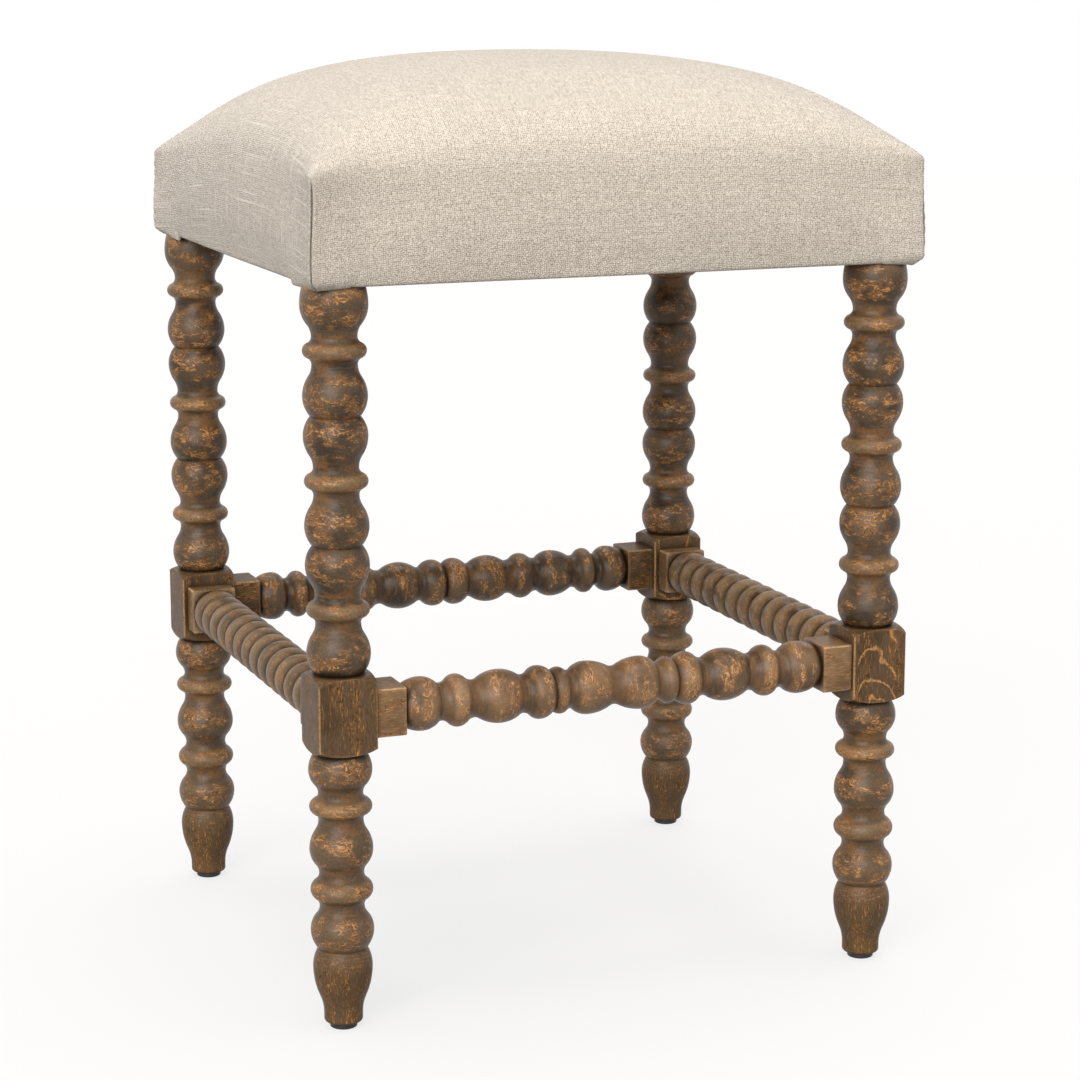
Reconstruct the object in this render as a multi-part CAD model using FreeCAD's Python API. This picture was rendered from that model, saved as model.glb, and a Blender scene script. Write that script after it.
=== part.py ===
import FreeCAD, Part
import math
import os

# Counter stool: four bobbin-turned legs with square blocks, four turned stretchers tenoned into
# those blocks, and a crowned seat in linen over foam, a plywood deck and a dowelled frame.
# Millimetres. +Z is up, the floor is at zero, -Y is the front, and X runs from left to right.

# Seat, outside the linen
seat_height = 660.0  # floor to the top of the crown
seat_width = 447.0
seat_depth = 415.0
seat_side_height = 72.0  # underside to the top of a corner seam
crown_rise = 70.0  # top of a corner seam to the top of the crown
belly_height = 34.0  # height above the underside at which the sides reach their full size
side_draw = 2.2  # the hem draws each side in by this much
seat_corner_radius = 12.0  # of the linen, and of each layer and the frame under it
crown_bands = 11  # steps between the outlines that shape the crown, finer at its rim and at its top
crown_power = 2.8  # how square the crown is in plan
crown_fullness = 0.6  # how early the crown fills out

# Upholstery layers
cover_thickness = 1.2
batting_thickness = 4.0
layer_gap = 0.5
hem_width = 28.0  # linen turned under the frame
dust_cover_thickness = 0.8
dust_cover_margin = 12.0  # from the seat's lower edge
dust_cover_leg_gap = 3.0  # round the top of each leg

# Seat frame
rail_height = 40.0
rail_thickness = 18.0
post_side = 46.0
deck_thickness = 12.0
dowel_diameter = 8.0
dowel_length = 36.0
dowel_edge = 12.0  # from the top or the bottom of a rail
wood_clearance = 0.05  # round each dowel, tenon, bolt and nail

# Legs
leg_side_inset = 20.3  # from a leg's axis to the lower edge of the seat at its side
leg_front_inset = 24.2  # the same at the front and at the back
block_side = 42.0
block_height = 55.0
block_edge_radius = 1.6
shoulder_drop = 5.0  # how far the turned shoulder has fallen at a block's corners
stretcher_height = 226.0  # floor to the stretchers' axes
ball_radius = 22.0
seat_ball_radius = 23.0
leg_top_radius = 21.0
ring_radius = 21.7
leg_neck_radius = 15.5
leg_crease_radius = 17.0
foot_ball_radius = 20.7
foot_radius = 13.5
foot_edge_radius = 2.5
ball_hollow_share = 0.62  # of the way from a ball to a neck at which the curve turns hollow
ring_hollow_share = 0.5  # the same from a ring to a neck
bobbin_hollow_share = 0.8  # the same from a stretcher's ball to the groove beside it

# Steps along a leg from one crest or hollow to the next, stretched together to fill its length
crease_to_ball = 13.5
ball_to_neck = 21.5
neck_to_ring = 9.5
lower_ball_to_neck = 17.0
ball_to_saddle = 17.5
saddle_to_torus = 12.0
foot_ball_to_ankle = 35.0
ankle_to_end = 6.5

# Stretchers
stretcher_square = 34.0
long_square_length = 22.0
short_square_length = 16.0
square_edge_radius = 0.9  # round the end face of a square
stretcher_ball_radius = 18.9
stretcher_ring_radius = 18.5
stretcher_neck_radius = 13.2
stretcher_saddle_radius = 13.6
stretcher_crease_radius = 13.8
small_bead_radius = 16.6
side_bead_radius = 18.2
side_crease_radius = 14.9
side_bead_count = 13
tenon_diameter = 14.0
mortise_web = 1.0  # wood left between the two mortises that cross in a block
tenon_end_gap = 0.5

# Steps along half a long stretcher, from its middle to its square end
front_steps = (20.5, 13.0, 7.5, 5.5, 10.0, 12.0, 17.0, 19.0, 12.5, 12.0, 14.0, 15.0)
back_steps = (9.0, 12.0, 17.0, 17.0, 12.5, 13.0, 13.5, 18.5, 11.0, 10.0, 10.5, 14.0)

# Leg fittings
bolt_diameter = 8.0
bolt_leg_depth = 40.0
bolt_tip_gap = 2.0  # below the deck
bolt_hole_diameter = 8.8
tee_nut_barrel_diameter = 10.0
tee_nut_length = 14.0
tee_nut_flange_diameter = 22.0
tee_nut_flange_thickness = 1.6
glide_diameter = 19.0
glide_height = 4.0
glide_edge_radius = 1.0
nail_diameter = 2.4
nail_length = 18.0
nail_head_diameter = 6.0
nail_head_thickness = 1.2
nail_recess_diameter = 7.0
nail_recess_depth = 2.2
screw_diameter = 4.0
screw_length = 32.0
screw_head_diameter = 8.0
screw_head_height = 2.4
screw_edge = 8.0  # from the inner corner of a post

# Places that follow from these sizes
rim_height = seat_height - crown_rise
seat_underside = rim_height - seat_side_height
base_width = seat_width - 2 * side_draw
base_depth = seat_depth - 2 * side_draw
leg_x = base_width / 2 - leg_side_inset
leg_y = base_depth / 2 - leg_front_inset
block_bottom = stretcher_height - block_height / 2
block_top = stretcher_height + block_height / 2
batting_inset = cover_thickness + layer_gap
foam_inset = batting_inset + batting_thickness + layer_gap
frame_width = base_width - 2 * foam_inset
frame_depth = base_depth - 2 * foam_inset
frame_bottom = seat_underside + cover_thickness
frame_top = frame_bottom + rail_height
deck_top = frame_top + deck_thickness
mortise_radius = tenon_diameter / 2 + wood_clearance
mortise_depth = block_side / 2 - mortise_radius - mortise_web
tenon_length = mortise_depth - tenon_end_gap

UP = FreeCAD.Vector(0, 0, 1)
LOFT_DEGREE = 2  # smooth, without ripples between the outlines
corners = {
    "front_left": (-1, -1),
    "front_right": (1, -1),
    "back_left": (-1, 1),
    "back_right": (1, 1),
}


def at(x, y, z):
    return FreeCAD.Vector(x, y, z)


def rod(diameter, start, end):
    """Round bar between two points."""
    along = end - start
    return Part.makeCylinder(diameter / 2, along.Length, start, along)


def box_between(low, high):
    size = high - low
    return Part.makeBox(size.x, size.y, size.z, low)


def rounded_rectangle(width, depth, radius, height):
    """Flat outline of four lines and four quarter arcs, centred on the Z axis."""
    x = width / 2 - radius
    y = depth / 2 - radius
    arcs = []
    for turn, (side_x, side_y) in enumerate(((1, 1), (-1, 1), (-1, -1), (1, -1))):
        centre = at(side_x * x, side_y * y, height)
        points = []
        for eighth in range(3):
            angle = math.radians(90 * turn + 45 * eighth)
            points.append(centre + at(math.cos(angle), math.sin(angle), 0) * radius)
        arcs.append(points)
    edges = []
    for points, next_points in zip(arcs, arcs[1:] + arcs[:1]):
        edges.append(Part.Arc(*points).toShape())
        edges.append(Part.LineSegment(points[-1], next_points[0]).toShape())
    return Part.Wire(edges)


def rounded_bar(width, depth, radius, low, high):
    return Part.Face(rounded_rectangle(width, depth, radius, low)).extrude(UP * (high - low))


# Turned outlines. A station is a point (radius, 0, height) with its kind: the curve runs parallel to
# the axis at a crest and in a hollow, and turns sharply at a crease.
FLAT = ("crest", "hollow")


def arc_from_flat(flat, end):
    """Arc that leaves one point parallel to the axis and passes through another."""
    rise = end.x - flat.x
    run = end.z - flat.z
    radius = (rise * rise + run * run) / (2 * rise)
    half_turn = math.atan(rise / run)
    middle = flat + at(radius * (1 - math.cos(half_turn)), 0, radius * math.sin(half_turn))
    return Part.Arc(flat, middle, end).toShape()


def curve_between(kind_a, a, kind_b, b, hollow_share):
    """One arc to a crease, two arcs that meet on the chord between a crest and a hollow, or a line."""
    if a.x == b.x:
        return [Part.LineSegment(a, b).toShape()]
    if kind_a in FLAT and kind_b in FLAT:
        meeting = a + (b - a) * (hollow_share if kind_a == "crest" else 1 - hollow_share)
        return [arc_from_flat(a, meeting), arc_from_flat(b, meeting)]
    if kind_a in FLAT:
        return [arc_from_flat(a, b)]
    if kind_b in FLAT:
        return [arc_from_flat(b, a)]
    return [Part.LineSegment(a, b).toShape()]


def turning(start, end, stations):
    """Solid of revolution about Z from a list of (kind, step, radius, hollow share) between two heights.

    The first step is zero, and the steps are stretched together to reach from start to end.
    """
    stretch = (end - start) / sum(step for kind, step, radius, share in stations)
    height = start
    points = []
    for kind, step, radius, share in stations:
        height += step * stretch
        points.append((kind, at(radius, 0, height), share))
    edges = []
    for (kind_a, a, share_a), (kind_b, b, share_b) in zip(points, points[1:]):
        edges += curve_between(kind_a, a, kind_b, b, share_b)
    first = points[0][1]
    last = points[-1][1]
    edges.append(Part.LineSegment(last, at(0, 0, last.z)).toShape())
    edges.append(Part.LineSegment(at(0, 0, last.z), at(0, 0, first.z)).toShape())
    edges.append(Part.LineSegment(at(0, 0, first.z), first).toShape())
    outline = Part.Wire(Part.__sortEdges__(edges))
    return Part.Face(outline).revolve(at(0, 0, 0), UP, 360)


def mirrored(stations):
    """The same stations run the other way."""
    steps = [0.0] + [step for kind, step, radius, share in reversed(stations)][:-1]
    shares = [stations[-1][3]] + [share for kind, step, radius, share in reversed(stations)][:-1]
    return [
        (kind, step, radius, share)
        for (kind, old_step, radius, old_share), step, share in zip(reversed(stations), steps, shares)
    ]


def pummel(side, crease_radius, low, high):
    """Square block whose two ends are turned to falling shoulders."""
    block = rounded_bar(side, side, block_edge_radius, low, high)
    reach = side * math.sqrt(0.5)
    run = reach - crease_radius
    radius = (run**2 + shoulder_drop**2) / (2 * shoulder_drop)
    half_turn = math.atan(shoulder_drop / run)
    fall = radius * (1 - math.cos(half_turn))
    edges = [Part.LineSegment(at(0, 0, high), at(0, 0, low)).toShape()]
    edges.append(Part.LineSegment(at(0, 0, low), at(crease_radius, 0, low)).toShape())
    for height, inward in ((low, 1), (high, -1)):
        inner = at(crease_radius, 0, height)
        middle = inner + at(radius * math.sin(half_turn), 0, inward * fall)
        corner = at(reach, 0, height + inward * shoulder_drop)
        edges.append(Part.Arc(inner, middle, corner).toShape())
    corner_low = at(reach, 0, low + shoulder_drop)
    corner_high = at(reach, 0, high - shoulder_drop)
    edges.append(Part.LineSegment(corner_low, corner_high).toShape())
    edges.append(Part.LineSegment(at(crease_radius, 0, high), at(0, 0, high)).toShape())
    outline = Part.Wire(Part.__sortEdges__(edges))
    return block.common(Part.Face(outline).revolve(at(0, 0, 0), UP, 360))


def leg_turnings():
    """Lower and upper turned lengths of a leg, on the Z axis, on either side of its block."""
    ball = ball_hollow_share
    ring = ring_hollow_share
    half_unit = [
        ("crease", 0.0, leg_crease_radius, ball),
        ("crest", crease_to_ball, ball_radius, ball),
        ("hollow", ball_to_neck, leg_neck_radius, ball),
        ("crest", neck_to_ring, ring_radius, ring),
    ]
    unit = half_unit + mirrored(half_unit)[1:]
    top_unit = unit[:-2] + [
        ("crest", ball_to_neck, seat_ball_radius, ball),
        ("end", crease_to_ball, leg_top_radius, ball),
    ]
    upper = turning(block_top, seat_underside, unit + unit[1:] + top_unit[1:])
    foot = [
        ("end", 0.0, foot_radius - foot_edge_radius, ball),
        ("crest", foot_edge_radius, foot_radius, ball),
        ("hollow", ankle_to_end - foot_edge_radius, foot_radius, ball),
        ("crest", foot_ball_to_ankle, foot_ball_radius, ball),
        ("crease", crease_to_ball, leg_crease_radius, ball),
        ("crest", crease_to_ball, ball_radius, ball),
        ("hollow", ball_to_saddle, leg_neck_radius, ball),
        ("crest", saddle_to_torus, ring_radius, ring),
        ("hollow", saddle_to_torus, leg_neck_radius, ring),
        ("crest", ball_to_saddle, ball_radius, ball),
        ("hollow", ball_to_neck, leg_neck_radius, ball),
        ("crest", neck_to_ring, ring_radius, ring),
        ("hollow", neck_to_ring, leg_neck_radius, ring),
        ("crest", lower_ball_to_neck, ball_radius, ball),
        ("crease", crease_to_ball, leg_crease_radius, ball),
    ]
    return turning(glide_height, block_bottom, foot), upper


def make_leg(turned, side_x, side_y):
    """A leg in its place, with its mortises facing the two stretchers that it takes."""
    lower, upper = turned
    block = pummel(block_side, leg_crease_radius, block_bottom, block_top)
    leg = lower.fuse([block, upper]).removeSplitter()
    bolt_bottom = at(0, 0, seat_underside - bolt_leg_depth)
    leg = leg.cut(rod(bolt_diameter + 2 * wood_clearance, bolt_bottom, at(0, 0, seat_underside)))
    nail_top = at(0, 0, nail_recess_depth + nail_length)
    leg = leg.cut(rod(nail_diameter + 2 * wood_clearance, at(0, 0, 0), nail_top))
    for inward in (at(-side_x, 0, 0), at(0, -side_y, 0)):
        mouth = at(0, 0, stretcher_height) + inward * (block_side / 2)
        leg = leg.cut(rod(2 * mortise_radius, mouth, mouth - inward * mortise_depth))
    return leg.translated(at(side_x * leg_x, side_y * leg_y, 0))


def make_stretcher(span, square_length, stations):
    """A stretcher along Z, centred on the origin, with square ends and round tenons."""
    shoulder = span / 2 - square_length
    stretcher = turning(-shoulder, shoulder, stations)
    square = rounded_bar(stretcher_square, stretcher_square, block_edge_radius, shoulder, span / 2)
    end_edges = [edge for edge in square.Edges if edge.BoundBox.ZMax < shoulder + square_edge_radius]
    square = square.makeFillet(square_edge_radius, end_edges)
    tenon = rod(tenon_diameter, at(0, 0, span / 2), at(0, 0, span / 2 + tenon_length))
    end = square.fuse(tenon)
    other_end = end.mirror(at(0, 0, 0), UP)
    return stretcher.fuse([end, other_end]).removeSplitter()


def long_stations(steps, middle, shapes):
    """Stations from one square end to the other, from the steps of one half."""
    half = [middle] + [(kind, step, radius, share) for (kind, radius, share), step in zip(shapes, steps)]
    return mirrored(half) + half[1:]


def front_stations():
    ball = bobbin_hollow_share
    ring = ring_hollow_share
    shapes = (
        ("crest", stretcher_ball_radius, ball),
        ("hollow", stretcher_saddle_radius, ball),
        ("crest", small_bead_radius, ring),
        ("crease", stretcher_crease_radius, ring),
        ("crest", stretcher_ball_radius, ball),
        ("hollow", stretcher_saddle_radius, ring),
        ("crest", stretcher_ball_radius, ball),
        ("hollow", stretcher_neck_radius, ball),
        ("crest", stretcher_ring_radius, ring),
        ("hollow", stretcher_neck_radius, ring),
        ("crest", stretcher_ball_radius, ball),
        ("crease", stretcher_crease_radius, ball),
    )
    return long_stations(front_steps, ("hollow", 0.0, stretcher_saddle_radius, ball), shapes)


def back_stations():
    ball = bobbin_hollow_share
    ring = ring_hollow_share
    shapes = (
        ("crest", stretcher_ball_radius, ball),
        ("hollow", stretcher_saddle_radius, ball),
        ("crest", stretcher_ball_radius, ball),
        ("hollow", stretcher_saddle_radius, ball),
        ("crest", stretcher_ring_radius, ring),
        ("hollow", stretcher_saddle_radius, ring),
        ("crest", stretcher_ball_radius, ball),
        ("hollow", stretcher_neck_radius, ball),
        ("crest", stretcher_ring_radius, ring),
        ("hollow", stretcher_neck_radius, ring),
        ("crest", stretcher_ball_radius, ball),
        ("crease", stretcher_crease_radius, ball),
    )
    return long_stations(back_steps, ("crease", 0.0, stretcher_crease_radius, ball), shapes)


def side_stations():
    """A row of even beads that meet in creases."""
    stations = [("crease", 0.0, side_crease_radius, ball_hollow_share)]
    for bead in range(side_bead_count):
        stations.append(("crest", 1.0, side_bead_radius, ball_hollow_share))
        stations.append(("crease", 1.0, side_crease_radius, ball_hollow_share))
    return stations


def make_glide():
    """Moulded disc with a rounded rim and a recess for its nail, under one foot."""
    disc = Part.makeCylinder(glide_diameter / 2, glide_height)
    lower_rim = [edge for edge in disc.Edges if edge.BoundBox.ZMax < glide_edge_radius]
    disc = disc.makeFillet(glide_edge_radius, lower_rim)
    disc = disc.cut(rod(nail_recess_diameter, at(0, 0, 0), at(0, 0, nail_recess_depth)))
    return disc.cut(rod(nail_diameter + 2 * wood_clearance, at(0, 0, 0), at(0, 0, glide_height)))


def make_nail():
    """Nail with its head in the glide's recess."""
    head_top = at(0, 0, nail_recess_depth)
    head = rod(nail_head_diameter, head_top - UP * nail_head_thickness, head_top)
    return head.fuse(rod(nail_diameter, head_top, head_top + UP * nail_length)).removeSplitter()


def make_bolt():
    """Plain form of a hanger bolt: one end in the leg, the other up in its tee nut."""
    return rod(bolt_diameter, at(0, 0, seat_underside - bolt_leg_depth), at(0, 0, frame_top - bolt_tip_gap))


def make_tee_nut():
    """Barrel in the post with its flange let into the top."""
    flange_bottom = at(0, 0, frame_top - tee_nut_flange_thickness)
    flange = rod(tee_nut_flange_diameter, flange_bottom, at(0, 0, frame_top))
    barrel = rod(tee_nut_barrel_diameter, at(0, 0, frame_top - tee_nut_length), flange_bottom)
    bore = rod(bolt_diameter + 2 * wood_clearance, at(0, 0, frame_bottom), at(0, 0, deck_top))
    return flange.fuse(barrel).removeSplitter().cut(bore)


def make_screw():
    """Countersunk wood screw, head level with the deck's top, on the Z axis."""
    head = Part.makeCone(screw_diameter / 2, screw_head_diameter / 2, screw_head_height)
    head.translate(at(0, 0, deck_top - screw_head_height))
    shank = rod(screw_diameter, at(0, 0, deck_top - screw_length), at(0, 0, deck_top - screw_head_height))
    return head.fuse(shank).removeSplitter()


def screw_places():
    """One screw in each post and one in the middle of each rail."""
    places = []
    post_x = frame_width / 2 - post_side + screw_edge
    post_y = frame_depth / 2 - post_side + screw_edge
    for side_x, side_y in corners.values():
        places.append(at(side_x * post_x, side_y * post_y, 0))
    rail_x = (frame_width - rail_thickness) / 2
    rail_y = (frame_depth - rail_thickness) / 2
    for side in (-1, 1):
        places.append(at(side * rail_x, 0, 0))
        places.append(at(0, side * rail_y, 0))
    return places


def dowel_places():
    """Start and direction of each dowel: two in every joint between a rail and a post."""
    places = []
    post_face_x = frame_width / 2 - post_side
    post_face_y = frame_depth / 2 - post_side
    rail_x = (frame_width - rail_thickness) / 2
    rail_y = (frame_depth - rail_thickness) / 2
    for side_x, side_y in corners.values():
        for height in (frame_bottom + dowel_edge, frame_top - dowel_edge):
            places.append((at(side_x * post_face_x, side_y * rail_y, height), at(side_x, 0, 0)))
            places.append((at(side_x * rail_x, side_y * post_face_y, height), at(0, side_y, 0)))
    return places


def dowel_rods(clearance):
    """Every dowel, grown by a clearance where it stands for its hole."""
    rods = []
    for face_point, outward in dowel_places():
        half = outward * (dowel_length / 2 + clearance)
        rods.append(rod(dowel_diameter + 2 * clearance, face_point - half, face_point + half))
    return rods


def frame_envelope(low, high):
    """Space of the seat frame in plan, with the posts' outer corners rounded."""
    return rounded_bar(frame_width, frame_depth, seat_corner_radius, low, high)


def make_post(side_x, side_y):
    """Corner post, bored for the leg's bolt and its tee nut."""
    outer = at(side_x * frame_width / 2, side_y * frame_depth / 2, frame_top)
    inner = at(outer.x - side_x * post_side, outer.y - side_y * post_side, frame_bottom)
    low = at(min(outer.x, inner.x), min(outer.y, inner.y), frame_bottom)
    high = at(max(outer.x, inner.x), max(outer.y, inner.y), frame_top)
    post = box_between(low, high).common(frame_envelope(frame_bottom, frame_top))
    axis = at(side_x * leg_x, side_y * leg_y, 0)
    nut_clearance = 2 * wood_clearance
    steps = (
        (bolt_hole_diameter, rail_height),
        (tee_nut_barrel_diameter + nut_clearance, tee_nut_length),
        (tee_nut_flange_diameter + nut_clearance, tee_nut_flange_thickness),
    )
    for diameter, depth in steps:
        top = axis + UP * frame_top
        post = post.cut(rod(diameter, top - UP * depth, top))
    return post


def make_rail(side_x, side_y):
    """Rail between two posts, along X where side_y is set and along Y where side_x is set."""
    outer_x = frame_width / 2
    outer_y = frame_depth / 2
    if side_y:
        reach = outer_x - post_side
        near, far_side = sorted((side_y * outer_y, side_y * (outer_y - rail_thickness)))
        return box_between(at(-reach, near, frame_bottom), at(reach, far_side, frame_top))
    reach = outer_y - post_side
    near, far_side = sorted((side_x * outer_x, side_x * (outer_x - rail_thickness)))
    return box_between(at(near, -reach, frame_bottom), at(far_side, reach, frame_top))


def crown_level(band):
    """Share of the crown's full rise at which one of its outlines lies."""
    return (1 - math.cos(math.pi * band / crown_bands)) / 2


crown_flat_level = crown_level(crown_bands - 1)  # the outline that closes the crown with a flat


def crown_reach(level):
    """Reach of the crown at a share of its rise, against the rim's: along an axis, and along a diagonal."""

    def reach(share):
        return (1 - share ** (1 / crown_fullness)) ** (1 / crown_power)

    return reach(level), reach(math.sqrt(level))


def seat_outline(inset, height):
    """Outline of the padded form at a height, drawn in all round by an inset."""
    drawn_in = inset + side_draw * max(0.0, 1 - (height - seat_underside) / belly_height) ** 2
    width = seat_width - 2 * drawn_in
    depth = seat_depth - 2 * drawn_in
    level = max(0.0, (height - rim_height) / (crown_rise - inset)) * crown_flat_level
    along, diagonal = crown_reach(level)
    round_off = (along - diagonal) / (1 - math.sqrt(0.5)) * depth / 2
    radius = max(seat_corner_radius, round_off)
    return rounded_rectangle(width * along, depth * along, radius, height)


def seat_form(inset, low):
    """Padded form of the seat from a height up, lofted through its outlines."""
    heights = [seat_underside + belly_height, rim_height]
    for band in range(1, crown_bands):
        heights.append(rim_height + (crown_rise - inset) * crown_level(band) / crown_flat_level)
    above = [height for height in heights if height > low]
    sections = [seat_outline(inset, height) for height in [low] + above]
    return Part.makeLoft(sections, True, False, False, LOFT_DEGREE)


def make_cover(bolt_holes):
    """Linen shell over the whole seat, turned under the frame as a hem."""
    outside = seat_form(0.0, seat_underside).Shells[0]
    inside = seat_form(cover_thickness, frame_bottom).Shells[0]
    cover = Part.Solid(Part.Compound([outside, inside.reversed()]))
    window_x = base_width / 2 - hem_width
    window_y = base_depth / 2 - hem_width
    window = box_between(at(-window_x, -window_y, 0), at(window_x, window_y, frame_top))
    return cover.cut([window] + bolt_holes)


def make_batting():
    """Thin padded layer over the foam and down the sides of the frame."""
    outside = seat_form(batting_inset, frame_bottom)
    inside = seat_form(batting_inset + batting_thickness, frame_bottom)
    floors = [min(form.Faces, key=lambda face: face.BoundBox.ZMax) for form in (outside, inside)]
    hem = Part.Face([floor.OuterWire for floor in floors]).reversed()
    outer_skin = [face for face in outside.Faces if not face.isSame(floors[0])]
    inner_skin = [face.reversed() for face in inside.Faces if not face.isSame(floors[1])]
    return Part.Solid(Part.Shell(outer_skin + inner_skin + [hem]))


def make_foam():
    """Foam block on the deck, cut to the crown."""
    return seat_form(foam_inset, deck_top)


def make_deck(screws):
    return frame_envelope(frame_top, deck_top).cut(screws)


def make_dust_cover():
    """Thin cloth under the frame, cut away round the legs."""
    width = base_width - 2 * dust_cover_margin
    depth = base_depth - 2 * dust_cover_margin
    low = at(-width / 2, -depth / 2, seat_underside - dust_cover_thickness)
    sheet = box_between(low, at(width / 2, depth / 2, seat_underside))
    notch = 2 * (leg_top_radius + dust_cover_leg_gap)
    for side_x, side_y in corners.values():
        foot = at(side_x * leg_x, side_y * leg_y, 0)
        sheet = sheet.cut(rod(notch, foot, foot + UP * seat_underside))
    return sheet


def four(piece):
    """The same piece on the axis of each leg, as one group of separate solids."""
    copies = [piece.translated(at(sx * leg_x, sy * leg_y, 0)) for sx, sy in corners.values()]
    return Part.Compound(copies)


def turned_along(piece, axis, place):
    """A piece made along Z, laid along another axis and set in its place."""
    laid = piece.copy()
    laid.Placement = FreeCAD.Placement(place, FreeCAD.Rotation(UP, axis))
    return laid


def build():
    nodes = {}
    turned = leg_turnings()
    for name, (side_x, side_y) in corners.items():
        nodes["leg_" + name] = make_leg(turned, side_x, side_y)
        place = at(side_x * leg_x, side_y * leg_y, 0)
        nodes["glide_" + name] = make_glide().translated(place)
        nodes["corner_post_" + name] = make_post(side_x, side_y)
    nodes["glide_nails"] = four(make_nail())
    nodes["leg_bolts"] = four(make_bolt())
    nodes["tee_nuts"] = four(make_tee_nut())

    long_span = 2 * leg_x - block_side
    short_span = 2 * leg_y - block_side
    side = make_stretcher(short_span, short_square_length, side_stations())
    front = make_stretcher(long_span, long_square_length, front_stations())
    back = make_stretcher(long_span, long_square_length, back_stations())
    along_x = at(1, 0, 0)
    along_y = at(0, 1, 0)
    nodes["stretcher_front"] = turned_along(front, along_x, at(0, -leg_y, stretcher_height))
    nodes["stretcher_back"] = turned_along(back, along_x, at(0, leg_y, stretcher_height))
    nodes["stretcher_left"] = turned_along(side, along_y, at(-leg_x, 0, stretcher_height))
    nodes["stretcher_right"] = turned_along(side, along_y, at(leg_x, 0, stretcher_height))

    screws = [make_screw().translated(place) for place in screw_places()]
    sides = {"front": (0, -1), "back": (0, 1), "left": (-1, 0), "right": (1, 0)}
    for name, (side_x, side_y) in sides.items():
        nodes["seat_rail_" + name] = make_rail(side_x, side_y)
    dowel_holes = dowel_rods(wood_clearance)
    for name in nodes:
        if name.startswith(("seat_rail", "corner_post")):
            nodes[name] = nodes[name].cut(dowel_holes + screws)
    nodes["rail_dowels"] = Part.Compound(dowel_rods(0.0))
    nodes["deck_screws"] = Part.Compound(screws)
    nodes["seat_deck"] = make_deck(screws)

    hole_low = at(0, 0, seat_underside)
    hole_high = at(0, 0, frame_bottom)
    hem_holes = four(rod(bolt_hole_diameter, hole_low, hole_high)).Solids
    nodes["seat_cover"] = make_cover(hem_holes)
    nodes["seat_batting"] = make_batting()
    nodes["seat_foam"] = make_foam()
    nodes["dust_cover"] = make_dust_cover()
    return nodes


os.makedirs("parts", exist_ok=True)
for node, shape in build().items():
    shape.exportStep("parts/" + node + ".step")
    print(node, len(shape.Solids), "solids", round(shape.Volume / 1000, 1), "cm3", shape.isValid())
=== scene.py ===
# %% [markdown]
# # A counter stool with bobbin-turned legs
# The construction model brings the rigid stool: turned legs, turned stretchers and
# the hidden seat frame. This lesson gives the wood its rubbed finish, makes the
# padded linen seat by letting cloth swell over a crowned form, and closes the
# underside with a stapled dust sheet.
#
# The construction model is loaded first and never moved. Sizes that both models
# share are read from it, so the looks keep their places if one of them changes.

# %% Load the stool's frame
import math
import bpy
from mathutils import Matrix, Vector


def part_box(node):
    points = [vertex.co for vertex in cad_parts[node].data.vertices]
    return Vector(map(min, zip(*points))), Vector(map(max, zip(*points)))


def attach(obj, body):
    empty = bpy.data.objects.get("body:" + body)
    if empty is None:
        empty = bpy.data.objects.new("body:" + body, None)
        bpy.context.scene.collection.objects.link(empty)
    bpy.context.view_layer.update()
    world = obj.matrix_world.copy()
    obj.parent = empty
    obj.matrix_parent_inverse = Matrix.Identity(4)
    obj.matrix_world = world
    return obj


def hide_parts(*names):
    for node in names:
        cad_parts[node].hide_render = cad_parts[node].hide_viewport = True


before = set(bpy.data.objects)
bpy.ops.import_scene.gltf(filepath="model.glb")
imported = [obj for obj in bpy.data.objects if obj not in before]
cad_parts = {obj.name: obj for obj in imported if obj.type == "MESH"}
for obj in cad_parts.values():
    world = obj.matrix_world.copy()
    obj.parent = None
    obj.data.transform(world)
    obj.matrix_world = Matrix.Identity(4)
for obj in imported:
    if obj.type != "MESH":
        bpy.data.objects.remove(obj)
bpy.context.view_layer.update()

from types import SimpleNamespace

import bmesh
import bpy
import numpy as np
from mathutils import Vector
from mathutils.bvhtree import BVHTree
from mathutils.interpolate import poly_3d_calc

MM = 0.001
leg_low, leg_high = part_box("leg_front_right")
leg_x = (leg_low.x + leg_high.x) / 2
leg_y = -(leg_low.y + leg_high.y) / 2
rung_low, rung_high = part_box("stretcher_front")
rung_height = (rung_low.z + rung_high.z) / 2
seat_low, seat_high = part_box("seat_cover")
print("leg axis", round(leg_x, 4), round(leg_y, 4), "rung height", round(rung_height, 4))

# %% [markdown]
# ## Camera
# The stool was photographed from the front left, a little above the seat, with a
# long lens that keeps the legs almost parallel. A camera could be aimed with a
# constraint, but plain angles are easier to read: it turns about the vertical and
# then tips down.

# %% Place the camera
camera_data = bpy.data.cameras.new("studio_camera")
camera_data.sensor_width = 36.0
camera_data.lens = 99.163
camera = bpy.data.objects.new("studio_camera", camera_data)
camera.location = (-0.7825, -2.0601, 0.7490)
camera.rotation_euler = (math.radians(90 - 11.63), 0.0, math.radians(-21.18))
bpy.context.scene.collection.objects.link(camera)
bpy.context.scene.camera = camera
print("camera", round((camera.location - Vector((0, 0, 0.33))).length, 3), "m from the stool")

# %% [markdown]
# ## Colours and nodes
# Colours are given as they show on screen, so they are sRGB hex values, while shader sockets
# take linear light. One function turns one into the other. A second one adds a
# shader node, sets its properties and fills or links its sockets, so that each
# finish below reads as a short recipe. Settings that many nodes share have names.

# %% Helpers for every finish
def linear(hex_colour):
    """The linear RGBA of an sRGB hex colour."""
    parts = [int(hex_colour[i:i + 2], 16) / 255 for i in (1, 3, 5)]
    return tuple(p / 12.92 if p <= 0.04045 else ((p + 0.055) / 1.055) ** 2.4 for p in parts) + (1.0,)


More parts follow.
